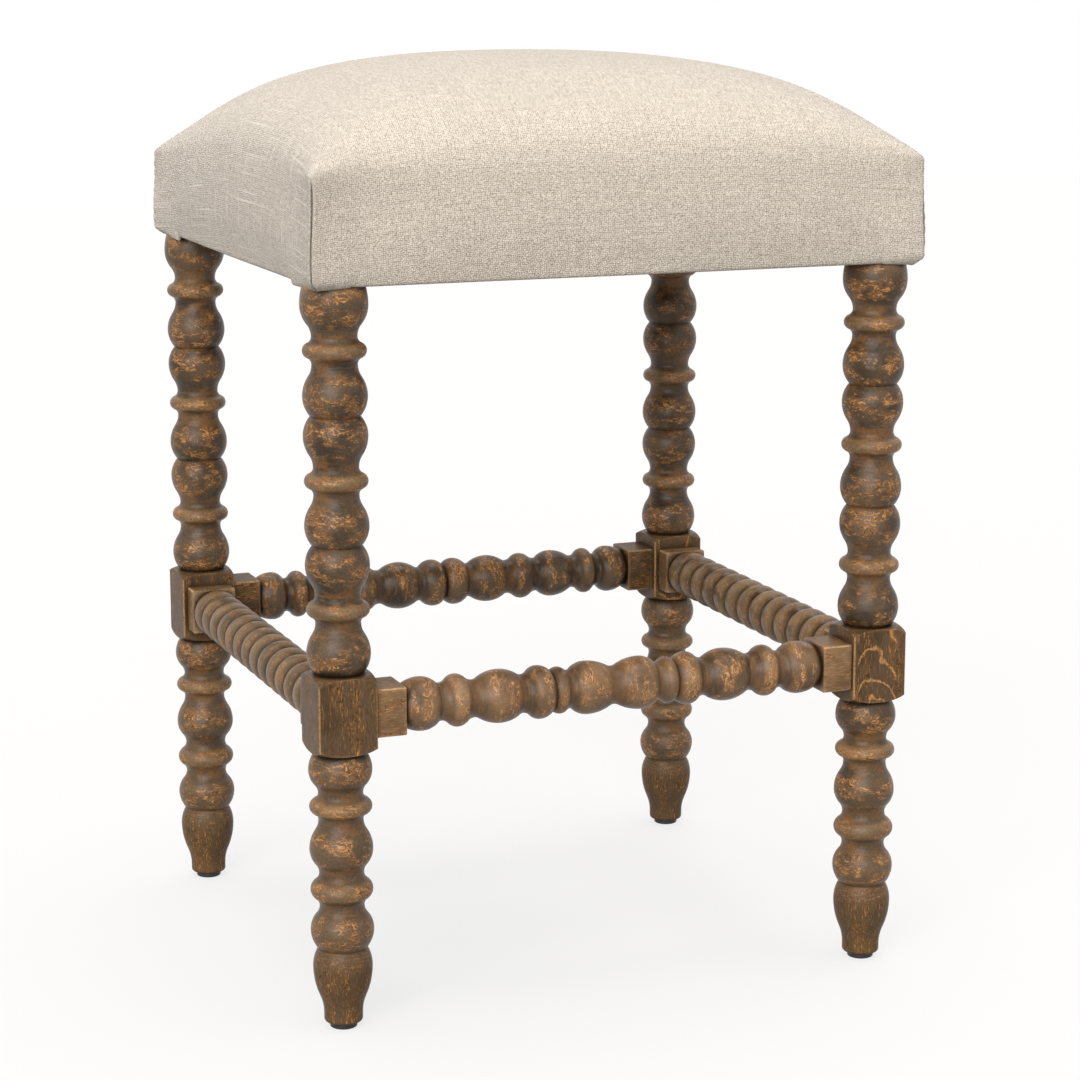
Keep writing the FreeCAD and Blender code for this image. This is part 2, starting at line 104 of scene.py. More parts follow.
def add(tree, kind, settings=None, inputs=None):
    """Add one node; an input is a value, a socket, or a node whose first live output is linked."""
    node = tree.nodes.new(kind)
    for name, value in (settings or {}).items():
        setattr(node, name, value)
    live = [socket for socket in node.inputs if socket.enabled]
    for name, value in (inputs or {}).items():
        socket = live[name] if isinstance(name, int) else next(s for s in live if s.name == name)
        if isinstance(value, bpy.types.Node):
            value = next(s for s in value.outputs if s.enabled)
        if isinstance(value, bpy.types.NodeSocket):
            tree.links.new(value, socket)
        else:
            socket.default_value = value
    return node


def new_finish(name):
    """An empty node material and its tree."""
    finish = bpy.data.materials.new(name)
    finish.use_nodes = True
    finish.node_tree.nodes.clear()
    return finish, finish.node_tree


MINUS = {"operation": "SUBTRACT"}
TIMES = {"operation": "MULTIPLY"}
TIMES_PLUS = {"operation": "MULTIPLY_ADD"}
LARGER = {"operation": "MAXIMUM"}
SOFT_STEP = {"interpolation_type": "SMOOTHSTEP"}
COLOURS = {"data_type": "RGBA"}
TINT = {"data_type": "RGBA", "blend_type": "MULTIPLY"}
print("walnut brown in linear light", [round(c, 3) for c in linear("#6b4d33")])

# %% [markdown]
# ## Floor and light
# The stool stands in a white studio. The floor is a plain sheet of paper that keeps
# the soft shadow under the seat. White behind the stool could come from strong
# lamps, but they would bleach the linen. So the floor and the world add white only
# for rays that the camera, a gloss or a glass sends out, and light the stool less.
#
# Two wide soft lamps do the rest. One hangs above the seat, a little behind it, and
# one stands at the front left. They are far away, so the floor is lit evenly to the
# horizon. They make the top of the seat the brightest, the front a step darker and the
# left side darker again. The room behind the stool is dim, so each bobbin has a lit
# and a dark side.

# %% Paper floor
floor_reach = 6.0
floor_drop = 0.2 * MM
floor_glow = 0.755
floor_mesh = bpy.data.meshes.new("studio_floor")
floor_corners = [(x * floor_reach, y * floor_reach, -floor_drop) for x, y in ((-1, -1), (1, -1), (1, 1), (-1, 1))]
floor_mesh.from_pydata(floor_corners, [], [(0, 1, 2, 3)])
floor = bpy.data.objects.new("studio_floor", floor_mesh)
bpy.context.scene.collection.objects.link(floor)


def seen_directly(tree):
    """1 for rays from the camera, a gloss or a glass, and 0 for rays that carry light about."""
    path = add(tree, "ShaderNodeLightPath")
    seen = path.outputs["Is Camera Ray"]
    for kind in ("Is Glossy Ray", "Is Transmission Ray"):
        seen = add(tree, "ShaderNodeMath", LARGER, {0: seen, 1: path.outputs[kind]})
    return seen


# Matte paper: even white without a gleam, which only darkens in the stool's shadow.
finish, tree = new_finish("matte_white_studio_paper")
paper = add(tree, "ShaderNodeBsdfDiffuse", {}, {"Color": linear("#787674")})
glow = add(tree, "ShaderNodeEmission", {}, {"Color": linear("#ffffff"), "Strength": floor_glow})
lit = add(tree, "ShaderNodeAddShader", {}, {0: paper, 1: glow})
sheet = add(tree, "ShaderNodeMixShader", {}, {0: seen_directly(tree), 1: paper, 2: lit})
add(tree, "ShaderNodeOutputMaterial", {}, {"Surface": sheet})
floor_mesh.materials.append(finish)
print("paper floor of", 2 * floor_reach, "m")

# %% White room
room_bright_side = (-0.35, -0.94, 0.0)
room_dimmest, room_brightest = 0.12, 0.8
world = bpy.data.worlds.new("white_studio")
world.use_nodes = True
tree = world.node_tree
tree.nodes.clear()
ray = add(tree, "ShaderNodeTexCoord").outputs["Generated"]
facing = add(tree, "ShaderNodeVectorMath", {"operation": "DOT_PRODUCT"}, {0: ray, 1: room_bright_side})
level = add(tree, "ShaderNodeMapRange", {},
            {"Value": facing.outputs["Value"], "From Min": -1.0, "To Min": room_dimmest, "To Max": room_brightest})
ambient = add(tree, "ShaderNodeBackground", {}, {"Color": linear("#ffffff"), "Strength": level})
white = add(tree, "ShaderNodeBackground", {}, {"Color": linear("#ffffff"), "Strength": 1.0})
sky = add(tree, "ShaderNodeMixShader", {}, {0: seen_directly(tree), 1: ambient, 2: white})
add(tree, "ShaderNodeOutputWorld", {}, {"Surface": sky})
bpy.context.scene.world = world
print("room light from", room_dimmest, "behind the stool to", room_brightest, "in front of it")

# %% Lamps
# Each lamp's name, the direction it stands in, its width in degrees and its strength.
lamps = (("top_light", (0.10, 0.08, 0.99), 44, 1.8), ("front_light", (-0.53, -0.73, 0.43), 50, 2.4))
for name, direction, width, strength in lamps:
    lamp_data = bpy.data.lights.new(name, "SUN")
    lamp_data.angle = math.radians(width)
    lamp_data.energy = strength
    lamp = bpy.data.objects.new(name, lamp_data)
    lamp.rotation_euler = Vector(direction).to_track_quat("Z", "Y").to_euler()
    bpy.context.scene.collection.objects.link(lamp)
bpy.context.scene.view_settings.view_transform = "Standard"
print("lamps:", [name for name, *_ in lamps])

# %% [markdown]
# ## Turned wood: places on the lathe
# The legs and stretchers are hardwood, turned on a lathe and coloured with a dark
# grey-brown stain. The stain was then rubbed through by hand while the piece spun:
# the bellies of the bobbins show brown wood in patches of thin broken strokes that
# run round the piece. The rims of the rings and the edges of the square blocks are
# pale, the creases get painted shade, and the squares and feet show fibres along the leg.
#
# Painting that by hand on every bobbin would take days. The lathe gives a shorter
# way: how far a point lies from the lathe's axis says whether it is a belly or a
# neck. The four legs share one recipe by folding their places onto one axis. The
# recipe is cut into small functions, and each hands its sockets on to the next.

# %% Where a point lies on the lathe
lathe_centres = (leg_x, leg_y, rung_height)
belly_radius = {"leg": 20.0 * MM, "rung": 18.2 * MM}
neck_radius = {"leg": 16.0 * MM, "rung": 14.9 * MM}
block_edge = {"leg": 28.7 * MM, "rung": 23.0 * MM}
edge_width = 0.3 * MM
block_half = 27.5 * MM
foot_top = 64 * MM
foot_blend = 20 * MM


def on_the_lathe(tree, lathe_axis, member, square_start):
    """Places on a turned piece, and masks for its bellies, edges and squares."""
    along = [1.0 if axis == lathe_axis else 0.0 for axis in range(3)]
    across = [1.0 - a for a in along]
    place = add(tree, "ShaderNodeTexCoord").outputs["Object"]
    folded = add(tree, "ShaderNodeVectorMath", {"operation": "ABSOLUTE"}, {0: place})
    offset = add(tree, "ShaderNodeVectorMath", MINUS, {0: folded, 1: lathe_centres})
    outward = add(tree, "ShaderNodeVectorMath", TIMES, {0: offset, 1: across})
    radius = add(tree, "ShaderNodeVectorMath", {"operation": "LENGTH"}, {0: outward})
    belly = add(tree, "ShaderNodeMapRange", SOFT_STEP,
                {"Value": radius, "From Min": neck_radius[member], "From Max": belly_radius[member]})
    edge = add(tree, "ShaderNodeMapRange", SOFT_STEP,
               {"Value": radius, "From Min": block_edge[member], "From Max": block_edge[member] + edge_width})

    # Squares, blocks and feet show their fibres lengthwise.
    run = add(tree, "ShaderNodeVectorMath", {"operation": "DOT_PRODUCT"}, {0: folded, 1: along}).outputs["Value"]
    if member == "leg":
        run = add(tree, "ShaderNodeMath", MINUS, {0: run, 1: rung_height})
        foot_start = foot_top - rung_height
        foot = add(tree, "ShaderNodeMapRange", {},
                   {"Value": run, "From Min": foot_start, "From Max": foot_start - foot_blend})
        run = add(tree, "ShaderNodeMath", {"operation": "ABSOLUTE"}, {0: run})
        square = add(tree, "ShaderNodeMapRange", {},
                     {"Value": run, "From Min": block_half, "From Max": block_half - MM})
        lengthwise = add(tree, "ShaderNodeMath", LARGER, {0: square, 1: foot})
    else:
        square = add(tree, "ShaderNodeMapRange", {},
                     {"Value": run, "From Min": square_start, "From Max": square_start + MM})
        lengthwise = square
    turned = add(tree, "ShaderNodeMath", MINUS, {0: 1.0, 1: lengthwise})
    return SimpleNamespace(along=along, across=across, place=place, offset=offset, belly=belly, edge=edge,
                           square=square, lengthwise=lengthwise, turned=turned)


print("lathe axes at", [round(c, 4) for c in lathe_centres], "m")

# %% [markdown]
# ## Turned wood: stain and fibres
# Wood takes stain unevenly. Broad clouds lie over the whole piece, patches of a
# bobbin's size show where the hand rubbed, and fine specks and fibres break both up.
# Each is a noise of its own real size. The patches are drawn out round the piece, but
# along the fibres on squares and feet.

# %% Noises of the stain
cloud_size = 34 * MM
patch_size = 8 * MM
speck_size = 1.6 * MM
fibre_size = 0.8 * MM
round_stretch = 0.5
fibre_stretch = 0.17


def stain_noises(tree, at):
    """Clouds, patches, specks and fibres, and the place that is stretched round the piece."""
    cloud = add(tree, "ShaderNodeTexNoise", {}, {"Vector": at.place, "Scale": 1 / cloud_size, "Detail": 3.0})
    round_place = add(tree, "ShaderNodeVectorMath", TIMES,
                      {0: at.place, 1: [a + round_stretch * c for c, a in zip(at.across, at.along)]})
    fibre_place = add(tree, "ShaderNodeVectorMath", TIMES,
                      {0: at.place, 1: [c + fibre_stretch * a for c, a in zip(at.across, at.along)]})
    patch_place = add(tree, "ShaderNodeMix", {"data_type": "VECTOR"},
                      {"Factor": at.lengthwise, "A": round_place, "B": fibre_place})
    patch = add(tree, "ShaderNodeTexNoise", {},
                {"Vector": patch_place, "Scale": 1 / patch_size, "Detail": 4.0, "Roughness": 0.62})
    speck = add(tree, "ShaderNodeTexNoise", {}, {"Vector": at.place, "Scale": 1 / speck_size, "Detail": 3.0})
    fibre = add(tree, "ShaderNodeTexNoise", {},
                {"Vector": fibre_place, "Scale": 1 / fibre_size, "Detail": 3.0, "Distortion": 0.3})
    return SimpleNamespace(cloud=cloud, patch=patch, speck=speck, fibre=fibre, round_place=round_place)


print("stain clouds of", cloud_size / MM, "mm and patches of", patch_size / MM, "mm")

# %% [markdown]
# ## Turned wood: rubbed strokes
# Where the hand rubbed through the stain, bare wood shows as thin broken strokes. They
# could be drawn as curves, but the level lines of a noise look the same, like the height
# lines of a map. One level gives the pale strokes, and another one the dark lines beside
# them, which are painted shadow. Short flecks lie between, and squares and feet get long flecks along the fibres.

# %% Strokes and flecks
wander_size = 4.4 * MM
fleck_size = 1.9 * MM
stroke_level, stroke_shadow_level = 0.5, 0.57
line_width = 0.022


def rubbed_strokes(tree, at, noise):
    """Pale strokes, and dark outlines beside them that are painted shadow."""
    wander = add(tree, "ShaderNodeTexNoise", {},
                 {"Vector": noise.round_place, "Scale": 1 / wander_size, "Detail": 2.5, "Distortion": 1.2})
    # The second level draws the painted shadow beside each stroke.
    line, outline = (add(tree, "ShaderNodeMath", {"operation": "COMPARE"}, {0: wander, 1: level, 2: line_width})
                     for level in (stroke_level, stroke_shadow_level))
    fleck = add(tree, "ShaderNodeTexNoise", {},
                {"Vector": noise.round_place, "Scale": 1 / fleck_size, "Detail": 2.0, "Distortion": 0.8})
    fleck = add(tree, "ShaderNodeMapRange", SOFT_STEP, {"Value": fleck, "From Min": 0.6, "From Max": 0.68})
    fleck = add(tree, "ShaderNodeMath", LARGER, {0: fleck, 1: line})
    rub = add(tree, "ShaderNodeMapRange", SOFT_STEP, {"Value": noise.patch, "From Min": 0.46, "From Max": 0.57})
    on_belly = add(tree, "ShaderNodeMath", TIMES, {0: rub, 1: at.belly})
    fleck = add(tree, "ShaderNodeMath", TIMES, {0: fleck, 1: on_belly})
    outline = add(tree, "ShaderNodeMath", TIMES, {0: outline, 1: on_belly})
    long_fleck = add(tree, "ShaderNodeMapRange", SOFT_STEP, {"Value": noise.fibre, "From Min": 0.56, "From Max": 0.7})
    spread = add(tree, "ShaderNodeMapRange", SOFT_STEP,
                 {"Value": noise.patch, "From Min": 0.45, "From Max": 0.6, "To Min": 0.1, "To Max": 0.75})
    long_fleck = add(tree, "ShaderNodeMath", TIMES, {0: long_fleck, 1: spread})
    stroke = add(tree, "ShaderNodeMix", {}, {"Factor": at.lengthwise, "A": fleck, "B": long_fleck})
    return stroke, outline


print("strokes wander over", wander_size / MM, "mm")

# %% [markdown]
# ## Turned wood: growth rings
# A square block cut close to the pith shows growth rings as arches. Here they rise over
# the front and back of the right-hand blocks. A wave texture would run on over the whole
# leg, so the rings are worked out as distances from a slanting line, the pith, bent by
# the clouds of the stain, and kept to the middle of the block.

# %% Growth rings on the right-hand blocks
growth_ring = 7.5 * MM
ring_reach = 17 * MM
ring_fade = 3 * MM
pith_aside = 2 * MM
pith_lean = 0.45


def growth_arches(tree, at, noise):
    """Broken arches on the blocks of the right-hand legs."""
    along_x = add(tree, "ShaderNodeSeparateXYZ", {}, {"Vector": at.place}).outputs["X"]
    centred = add(tree, "ShaderNodeSeparateXYZ", {}, {"Vector": at.offset})
    side = add(tree, "ShaderNodeMath", MINUS, {0: along_x, 1: leg_x - pith_aside})
    lean = add(tree, "ShaderNodeMath", TIMES_PLUS, {0: centred.outputs["Z"], 1: pith_lean, 2: centred.outputs["Y"]})
    pith = add(tree, "ShaderNodeCombineXYZ", {}, {"X": side, "Y": lean})
    ring = add(tree, "ShaderNodeVectorMath", {"operation": "LENGTH"}, {0: pith})
    ring = add(tree, "ShaderNodeMath", {"operation": "DIVIDE"}, {0: ring, 1: growth_ring})
    ring = add(tree, "ShaderNodeMath", TIMES_PLUS, {0: noise.cloud, 1: 2.6, 2: ring})
    ring = add(tree, "ShaderNodeMath", TIMES_PLUS, {0: noise.patch, 1: 0.6, 2: ring})
    ring = add(tree, "ShaderNodeMath", {"operation": "PINGPONG"}, {0: ring, 1: 0.5})
    ring = add(tree, "ShaderNodeMapRange", SOFT_STEP, {"Value": ring, "From Min": 0.11, "From Max": 0.03})
    broken = add(tree, "ShaderNodeMapRange", SOFT_STEP, {"Value": noise.speck, "From Min": 0.36, "From Max": 0.48})
    aside = add(tree, "ShaderNodeMath", {"operation": "ABSOLUTE"}, {0: side})
    inner = add(tree, "ShaderNodeMapRange", SOFT_STEP,
                {"Value": aside, "From Min": ring_reach, "From Max": ring_reach - ring_fade})
    for mask in (broken, inner, at.square):
        ring = add(tree, "ShaderNodeMath", TIMES, {0: ring, 1: mask})
    return ring


print("growth rings", growth_ring / MM, "mm apart")

# %% [markdown]
# ## Turned wood: worn rims and painted shade in the creases
# Hands and shoes rub the rims of rings and the edges of blocks down to pale wood. The
# creases get painted shade: ambient occlusion finds them, and the same node looking
# inwards finds what is thin: sharp rims over a short reach, slim rings over a longer
# one. The lathe also left fine lines in the necks.

# %% Worn rims, and painted shade in creases and necks
rim_reach = 5 * MM
slim_reach = 14 * MM
crease_reach = 10 * MM
lathe_line = 1.2 * MM
lathe_stretch = 0.08
shade_samples = 6


def wear_and_shade(tree, at, noise):
    """Masks for pale worn rims, slim rings, painted shade in creases and necks, and the lathe's lines."""
    rim = add(tree, "ShaderNodeAmbientOcclusion", {"inside": True, "only_local": True, "samples": shade_samples},
              {"Distance": rim_reach})
    rim = add(tree, "ShaderNodeMapRange", SOFT_STEP, {"Value": rim.outputs["AO"], "From Min": 0.6, "From Max": 0.36})
    rim = add(tree, "ShaderNodeMath", LARGER, {0: rim, 1: at.edge})
    chipped = add(tree, "ShaderNodeMapRange", SOFT_STEP, {"Value": noise.speck, "From Min": 0.3, "From Max": 0.5})
    rim = add(tree, "ShaderNodeMath", TIMES, {0: rim, 1: chipped})
    slim = add(tree, "ShaderNodeAmbientOcclusion", {"inside": True, "only_local": True, "samples": shade_samples},
               {"Distance": slim_reach})
    slim = add(tree, "ShaderNodeMapRange", SOFT_STEP,
               {"Value": slim.outputs["AO"], "From Min": 0.86, "From Max": 0.58})
    slim = add(tree, "ShaderNodeMath", TIMES, {0: slim, 1: at.turned})
    # Painted shade: ambient occlusion finds the creases, which are painted darker.
    crease = add(tree, "ShaderNodeAmbientOcclusion", {"samples": shade_samples}, {"Distance": crease_reach})
    crease = add(tree, "ShaderNodeMapRange", SOFT_STEP,
                 {"Value": crease.outputs["AO"], "From Min": 0.86, "From Max": 0.38})
    neck = add(tree, "ShaderNodeMath", MINUS, {0: 1.0, 1: at.belly})
    line_place = add(tree, "ShaderNodeVectorMath", TIMES,
                     {0: at.place, 1: [a + lathe_stretch * c for c, a in zip(at.across, at.along)]})
    scratch = add(tree, "ShaderNodeTexNoise", {}, {"Vector": line_place, "Scale": 1 / lathe_line, "Detail": 2.0})
    scratch = add(tree, "ShaderNodeMapRange", SOFT_STEP, {"Value": scratch, "From Min": 0.52, "From Max": 0.7})
    scratch = add(tree, "ShaderNodeMath", TIMES, {0: scratch, 1: neck})
    # The neck mask also carries painted shade into the necks, where the recipe darkens them.
    neck = add(tree, "ShaderNodeMath", TIMES, {0: neck, 1: at.turned})
    return SimpleNamespace(rim=rim, slim=slim, crease=crease, neck=neck, scratch=scratch)


print("rims worn within", rim_reach / MM, "mm, creases dark within", crease_reach / MM, "mm")

# %% [markdown]
# ## Turned wood: layers of colour
# A finisher works in layers, and so does the recipe: a dark ground, brown where the stain
# is thin, pale where rings are worn, bare wood in the strokes, and painted shade in the
# necks and creases. Each layer is one mix of two colours by its mask. Legs are painted
# paler towards the floor as painted light, for the floor's light below and the seat's shade
# above. The surface is satin: rubbed wood has a soft gleam on the bobbins and almost none on the planed squares.

# %% Finish for turned wood
floor_light_top = 300 * MM
floor_light_full = 50 * MM
slim_share = {"leg": 0.45, "rung": 0.28}
streak_share = {"leg": 0.0, "rung": 0.5}
pore_depth = 0.3 * MM


def turned_wood(name, lathe_axis, member, tones, rubbed, painted_neck_shade, square_start):
    """Stained hardwood, turned along one axis and rubbed through on its crests."""
    finish, tree = new_finish(name)
    at = on_the_lathe(tree, lathe_axis, member, square_start)
    noise = stain_noises(tree, at)
    stroke, outline = rubbed_strokes(tree, at, noise)
    # These masks hold the real rubbed rims and also painted shade for the necks and creases.
    worn = wear_and_shade(tree, at, noise)
    tone = add(tree, "ShaderNodeMapRange", {}, {"Value": noise.cloud, "From Min": 0.36, "From Max": 0.64})
    tone = add(tree, "ShaderNodeMath", TIMES_PLUS, {0: at.lengthwise, 1: 0.45, 2: tone})
    if member == "leg":
        stroke = add(tree, "ShaderNodeMath", LARGER, {0: stroke, 1: growth_arches(tree, at, noise)})
        # Painted light: the legs are painted paler towards the floor, for the floor's light below and the seat's
        # shade above.
        level = add(tree, "ShaderNodeSeparateXYZ", {}, {"Vector": at.place}).outputs["Z"]
        painted_floor_light = add(tree, "ShaderNodeMapRange", SOFT_STEP,
                      {"Value": level, "From Min": floor_light_top, "From Max": floor_light_full})
        tone = add(tree, "ShaderNodeMath", TIMES_PLUS, {0: painted_floor_light, 1: 0.6, 2: tone})
    colour = add(tree, "ShaderNodeMix", COLOURS,
                 {"Factor": tone, "A": linear(tones["dark"]), "B": linear(tones["light"])})
    stain = add(tree, "ShaderNodeMapRange", SOFT_STEP, {"Value": noise.patch, "From Min": 0.43, "From Max": 0.62})
    less = add(tree, "ShaderNodeMapRange", {}, {"Value": at.lengthwise, "To Min": 1.0, "To Max": 0.55})
    stain = add(tree, "ShaderNodeMath", TIMES, {0: stain, 1: less})
    # Painted shade: the necks and creases take the darkest colour, and the dark lines beside the strokes are painted
    # shadow.
    layers = ((stain, 0.7, "brown"), (worn.slim, slim_share[member], "worn"), (worn.neck, painted_neck_shade, "crease"),
              (worn.scratch, 0.4, "brown"), (outline, 0.55 * rubbed, "crease"), (stroke, 0.8 * rubbed, "bare"),
              (worn.rim, 0.7, "worn"), (worn.crease, 0.85, "crease"))
    for layer, strength, paint in layers:
        share = add(tree, "ShaderNodeMath", TIMES, {0: layer, 1: strength})
        colour = add(tree, "ShaderNodeMix", COLOURS, {"Factor": share, "A": colour, "B": linear(tones[paint])})
    streaks = add(tree, "ShaderNodeMath", LARGER, {0: at.lengthwise, 1: streak_share[member]})
    fine = add(tree, "ShaderNodeMix", {}, {"Factor": streaks, "A": noise.speck, "B": noise.fibre})
    fine = add(tree, "ShaderNodeMapRange", {},
               {"Value": fine, "From Min": 0.3, "From Max": 0.7, "To Min": 0.76, "To Max": 1.24})
    colour = add(tree, "ShaderNodeMix", TINT, {"Factor": 1.0, "A": colour, "B": fine})
    rough = add(tree, "ShaderNodeMapRange", {},
                {"Value": noise.patch, "From Min": 0.3, "From Max": 0.7, "To Min": 0.3, "To Max": 0.46})
    height = add(tree, "ShaderNodeMath", TIMES_PLUS, {0: stroke, 1: -0.6, 2: fine})
    bump = add(tree, "ShaderNodeBump", {}, {"Strength": 0.4, "Distance": pore_depth, "Height": height})
    gloss = add(tree, "ShaderNodeMapRange", {}, {"Value": at.lengthwise, "To Min": 0.28, "To Max": 0.07})
    wood = add(tree, "ShaderNodeBsdfPrincipled", {},
               {"Base Color": colour, "Roughness": rough, "Specular IOR Level": gloss, "Normal": bump})
    add(tree, "ShaderNodeOutputMaterial", {}, {"Surface": wood})
    return finish


print("legs scuffed from", floor_light_top / MM, "mm down to", floor_light_full / MM, "mm")


# %% Three stains for legs and rungs
def give(finish, *nodes):
    """Put one finish on construction nodes."""
    for node in nodes:
        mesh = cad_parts[node].data
        mesh.materials.clear()
        mesh.materials.append(finish)


# Legs and back rung are the darkest, an umber stain. The front rung has been rubbed to a
# warm tan, and the side rungs have faded to a greyer ash brown.
umber = {"dark": "#30251a", "light": "#5d4a36", "brown": "#80582f", "bare": "#c08a56",
         "worn": "#b48c60", "crease": "#19120b"}
tan = {"dark": "#543f2c", "light": "#886b4d", "brown": "#966a42", "bare": "#cd9a69",
       "worn": "#cba175", "crease": "#241a11"}
ash = {"dark": "#54412d", "light": "#826849", "brown": "#8d663c", "bare": "#ba946a",
       "worn": "#c5a27a", "crease": "#1f1710"}
corners = ("front_left", "front_right", "back_left", "back_right")
front_square = leg_x - 43 * MM  # the square ends begin this far from the middle
side_square = leg_y - 37 * MM
legs = turned_wood("umber_stained_hardwood_legs", 2, "leg", umber, rubbed=1.0, painted_neck_shade=0.12, square_start=0.0)
front_rung = turned_wood("tan_rubbed_hardwood_front_rung", 0, "rung", tan, rubbed=1.0, painted_neck_shade=0.45,
                         square_start=front_square)
back_rung = turned_wood("umber_stained_hardwood_back_rung", 0, "rung", umber, rubbed=1.0, painted_neck_shade=0.45,
                        square_start=front_square)
side_rungs = turned_wood("ash_stained_hardwood_side_rungs", 1, "rung", ash, rubbed=0.6, painted_neck_shade=0.85,
                         square_start=side_square)
give(legs, *("leg_" + c for c in corners))
give(front_rung, "stretcher_front")
give(back_rung, "stretcher_back")
give(side_rungs, "stretcher_left", "stretcher_right")
print("turned wood on 8 pieces")

# %% [markdown]
# ## Hidden wood, steel and nylon
# Nobody sees the planed beech rails or the plywood deck unless the seat is opened,
# but they are real pieces and get real finishes: fibres along the length for the
# rails, rotary-cut figure for the plywood. The glides are moulded black nylon and
# the fastenings are zinc-plated steel.

# %% Finishes for the plain pieces
def planed_wood(name, pale, dark, fibre_axis, fibre):
    """Unfinished wood with fibres along one axis."""
    finish, tree = new_finish(name)
    stretch = [0.04 if axis == fibre_axis else 1.0 for axis in range(3)]
    place = add(tree, "ShaderNodeTexCoord").outputs["Object"]
    place = add(tree, "ShaderNodeVectorMath", TIMES, {0: place, 1: stretch})
    grain = add(tree, "ShaderNodeTexNoise", {}, {"Vector": place, "Scale": 1 / fibre, "Detail": 4.0})
    share = add(tree, "ShaderNodeMapRange", {}, {"Value": grain, "From Min": 0.35, "From Max": 0.65})
    colour = add(tree, "ShaderNodeMix", COLOURS,
                 {"Factor": share, "A": linear(pale), "B": linear(dark)})
    bump = add(tree, "ShaderNodeBump", {}, {"Strength": 0.3, "Distance": 0.2 * MM, "Height": grain})
    wood = add(tree, "ShaderNodeBsdfPrincipled", {}, {"Base Color": colour, "Roughness": 0.65, "Normal": bump})
    add(tree, "ShaderNodeOutputMaterial", {}, {"Surface": wood})
    return finish


def fine_grained(name, pale, dark, grain, roughness, metallic):
    """A plain moulded or plated surface with a faint grain."""
    finish, tree = new_finish(name)
    place = add(tree, "ShaderNodeTexCoord").outputs["Object"]
    speck = add(tree, "ShaderNodeTexNoise", {}, {"Vector": place, "Scale": 1 / grain, "Detail": 3.0})
    share = add(tree, "ShaderNodeMapRange", {}, {"Value": speck, "From Min": 0.3, "From Max": 0.7})
    colour = add(tree, "ShaderNodeMix", COLOURS,
                 {"Factor": share, "A": linear(pale), "B": linear(dark)})
    bump = add(tree, "ShaderNodeBump", {}, {"Strength": 0.2, "Distance": 0.05 * MM, "Height": speck})
    body = add(tree, "ShaderNodeBsdfPrincipled", {},
               {"Base Color": colour, "Roughness": roughness, "Metallic": metallic, "Normal": bump})
    add(tree, "ShaderNodeOutputMaterial", {}, {"Surface": body})
    return finish


# Planed beech: pinkish brown with short fine fibres and no gleam.
beech_cross = planed_wood("planed_beech_cross_rails", "#d3a97b", "#bb8f60", fibre_axis=0, fibre=1.2 * MM)
beech_deep = planed_wood("planed_beech_side_rails", "#d3a97b", "#bb8f60", fibre_axis=1, fibre=1.2 * MM)
beech_upright = planed_wood("planed_beech_posts", "#d0a678", "#b78b5d", fibre_axis=2, fibre=1.2 * MM)
# Sanded birch plywood: paler, with broad bands from the rotary cut.
birch = planed_wood("sanded_birch_plywood", "#d9bb8c", "#c7a370", fibre_axis=0, fibre=5 * MM)
# Moulded nylon: even black with a soft gleam.
nylon = fine_grained("moulded_black_nylon", "#1f1d1b", "#171513", grain=0.4 * MM, roughness=0.5, metallic=0.0)
# Zinc-plated steel: light grey metal, slightly mottled, with a blurred gleam.
zinc = fine_grained("zinc_plated_steel", "#c4c4c0", "#aeb0b0", grain=0.6 * MM, roughness=0.35, metallic=1.0)
give(beech_cross, "seat_rail_front", "seat_rail_back", "rail_dowels")
give(beech_deep, "seat_rail_left", "seat_rail_right")
give(beech_upright, *("corner_post_" + c for c in corners))
give(birch, "seat_deck")
give(nylon, *("glide_" + c for c in corners))
give(zinc, "glide_nails", "leg_bolts", "tee_nuts", "deck_screws")
print("six plain finishes on rails, posts, dowels, deck, glides and fastenings")

# %% [markdown]
# ## The seat's form
# The seat is a frame wrapped in foam, batting and linen. Its sides stand straight,
# and its top is a crown that rises steeply at the rim and flattens in the middle.
# A subdivided box would round off the corners too, so the form is worked out point
# by point: a grid over the crown whose lines crowd together at the rim, rows down
# the sides, a rolled hem, and a flat underside.
#
# Between the corners the padding hides the rim, and the crown flows over into the
# sides. Every thread from hem to hem is averaged along its own length to get that
# soft turn, over less and less length towards the corners, which stay pointed. The
# folded cloth is thickest there and pushes the corners out a little. The back corners
# sit lower than the front ones, as on a seat whose padding has settled.

# %% Sizes of the seat
seat_half = ((seat_high.x - seat_low.x) / 2, (seat_high.y - seat_low.y) / 2)
seat_under = seat_low.z
seat_top = seat_high.z
crown_rise = 70 * MM
rim = seat_top - crown_rise
side_height = rim - seat_under
crown_power = 2.7
crown_fullness = 0.44
belly_height = 34 * MM
side_draw = 2.2 * MM
corner_radius = 4 * MM
hem_roll = 2.4 * MM
hem_width = 28 * MM
hem_turns = (25, 50, 75, 90)
hem_insets = (5 * MM, 9 * MM, 16 * MM, hem_width)
round_over = 8.5 * MM
corner_reach = 50 * MM
least_spread = 0.05 * MM
hem_firmness = 2.5
corner_flare = 6 * MM
flare_reach = 24 * MM
flare_start = 6 * MM
back_drop = 11.5 * MM
back_reach = 145 * MM
crowding = 1.7
grid_count = (150, 142)
side_rows = 32
swell_slack = 2.0 * MM
print("seat", [round(2 * h / MM, 1) for h in seat_half], "mm, sides", round(side_height / MM, 1), "mm high")


# %% Lines that crowd at the rim
def smooth_step(low, high, value):
    """0 below low, 1 above high, and a soft S between them."""
    t = np.clip((value - low) / (high - low), 0.0, 1.0)
    return t * t * (3 - 2 * t)


def crowded_line(count):
    """Places from -1 to 1 that crowd together at both ends."""
    t = np.linspace(-1, 1, count)
    return np.sign(t) * (1 - (1 - np.abs(t)) ** crowding)


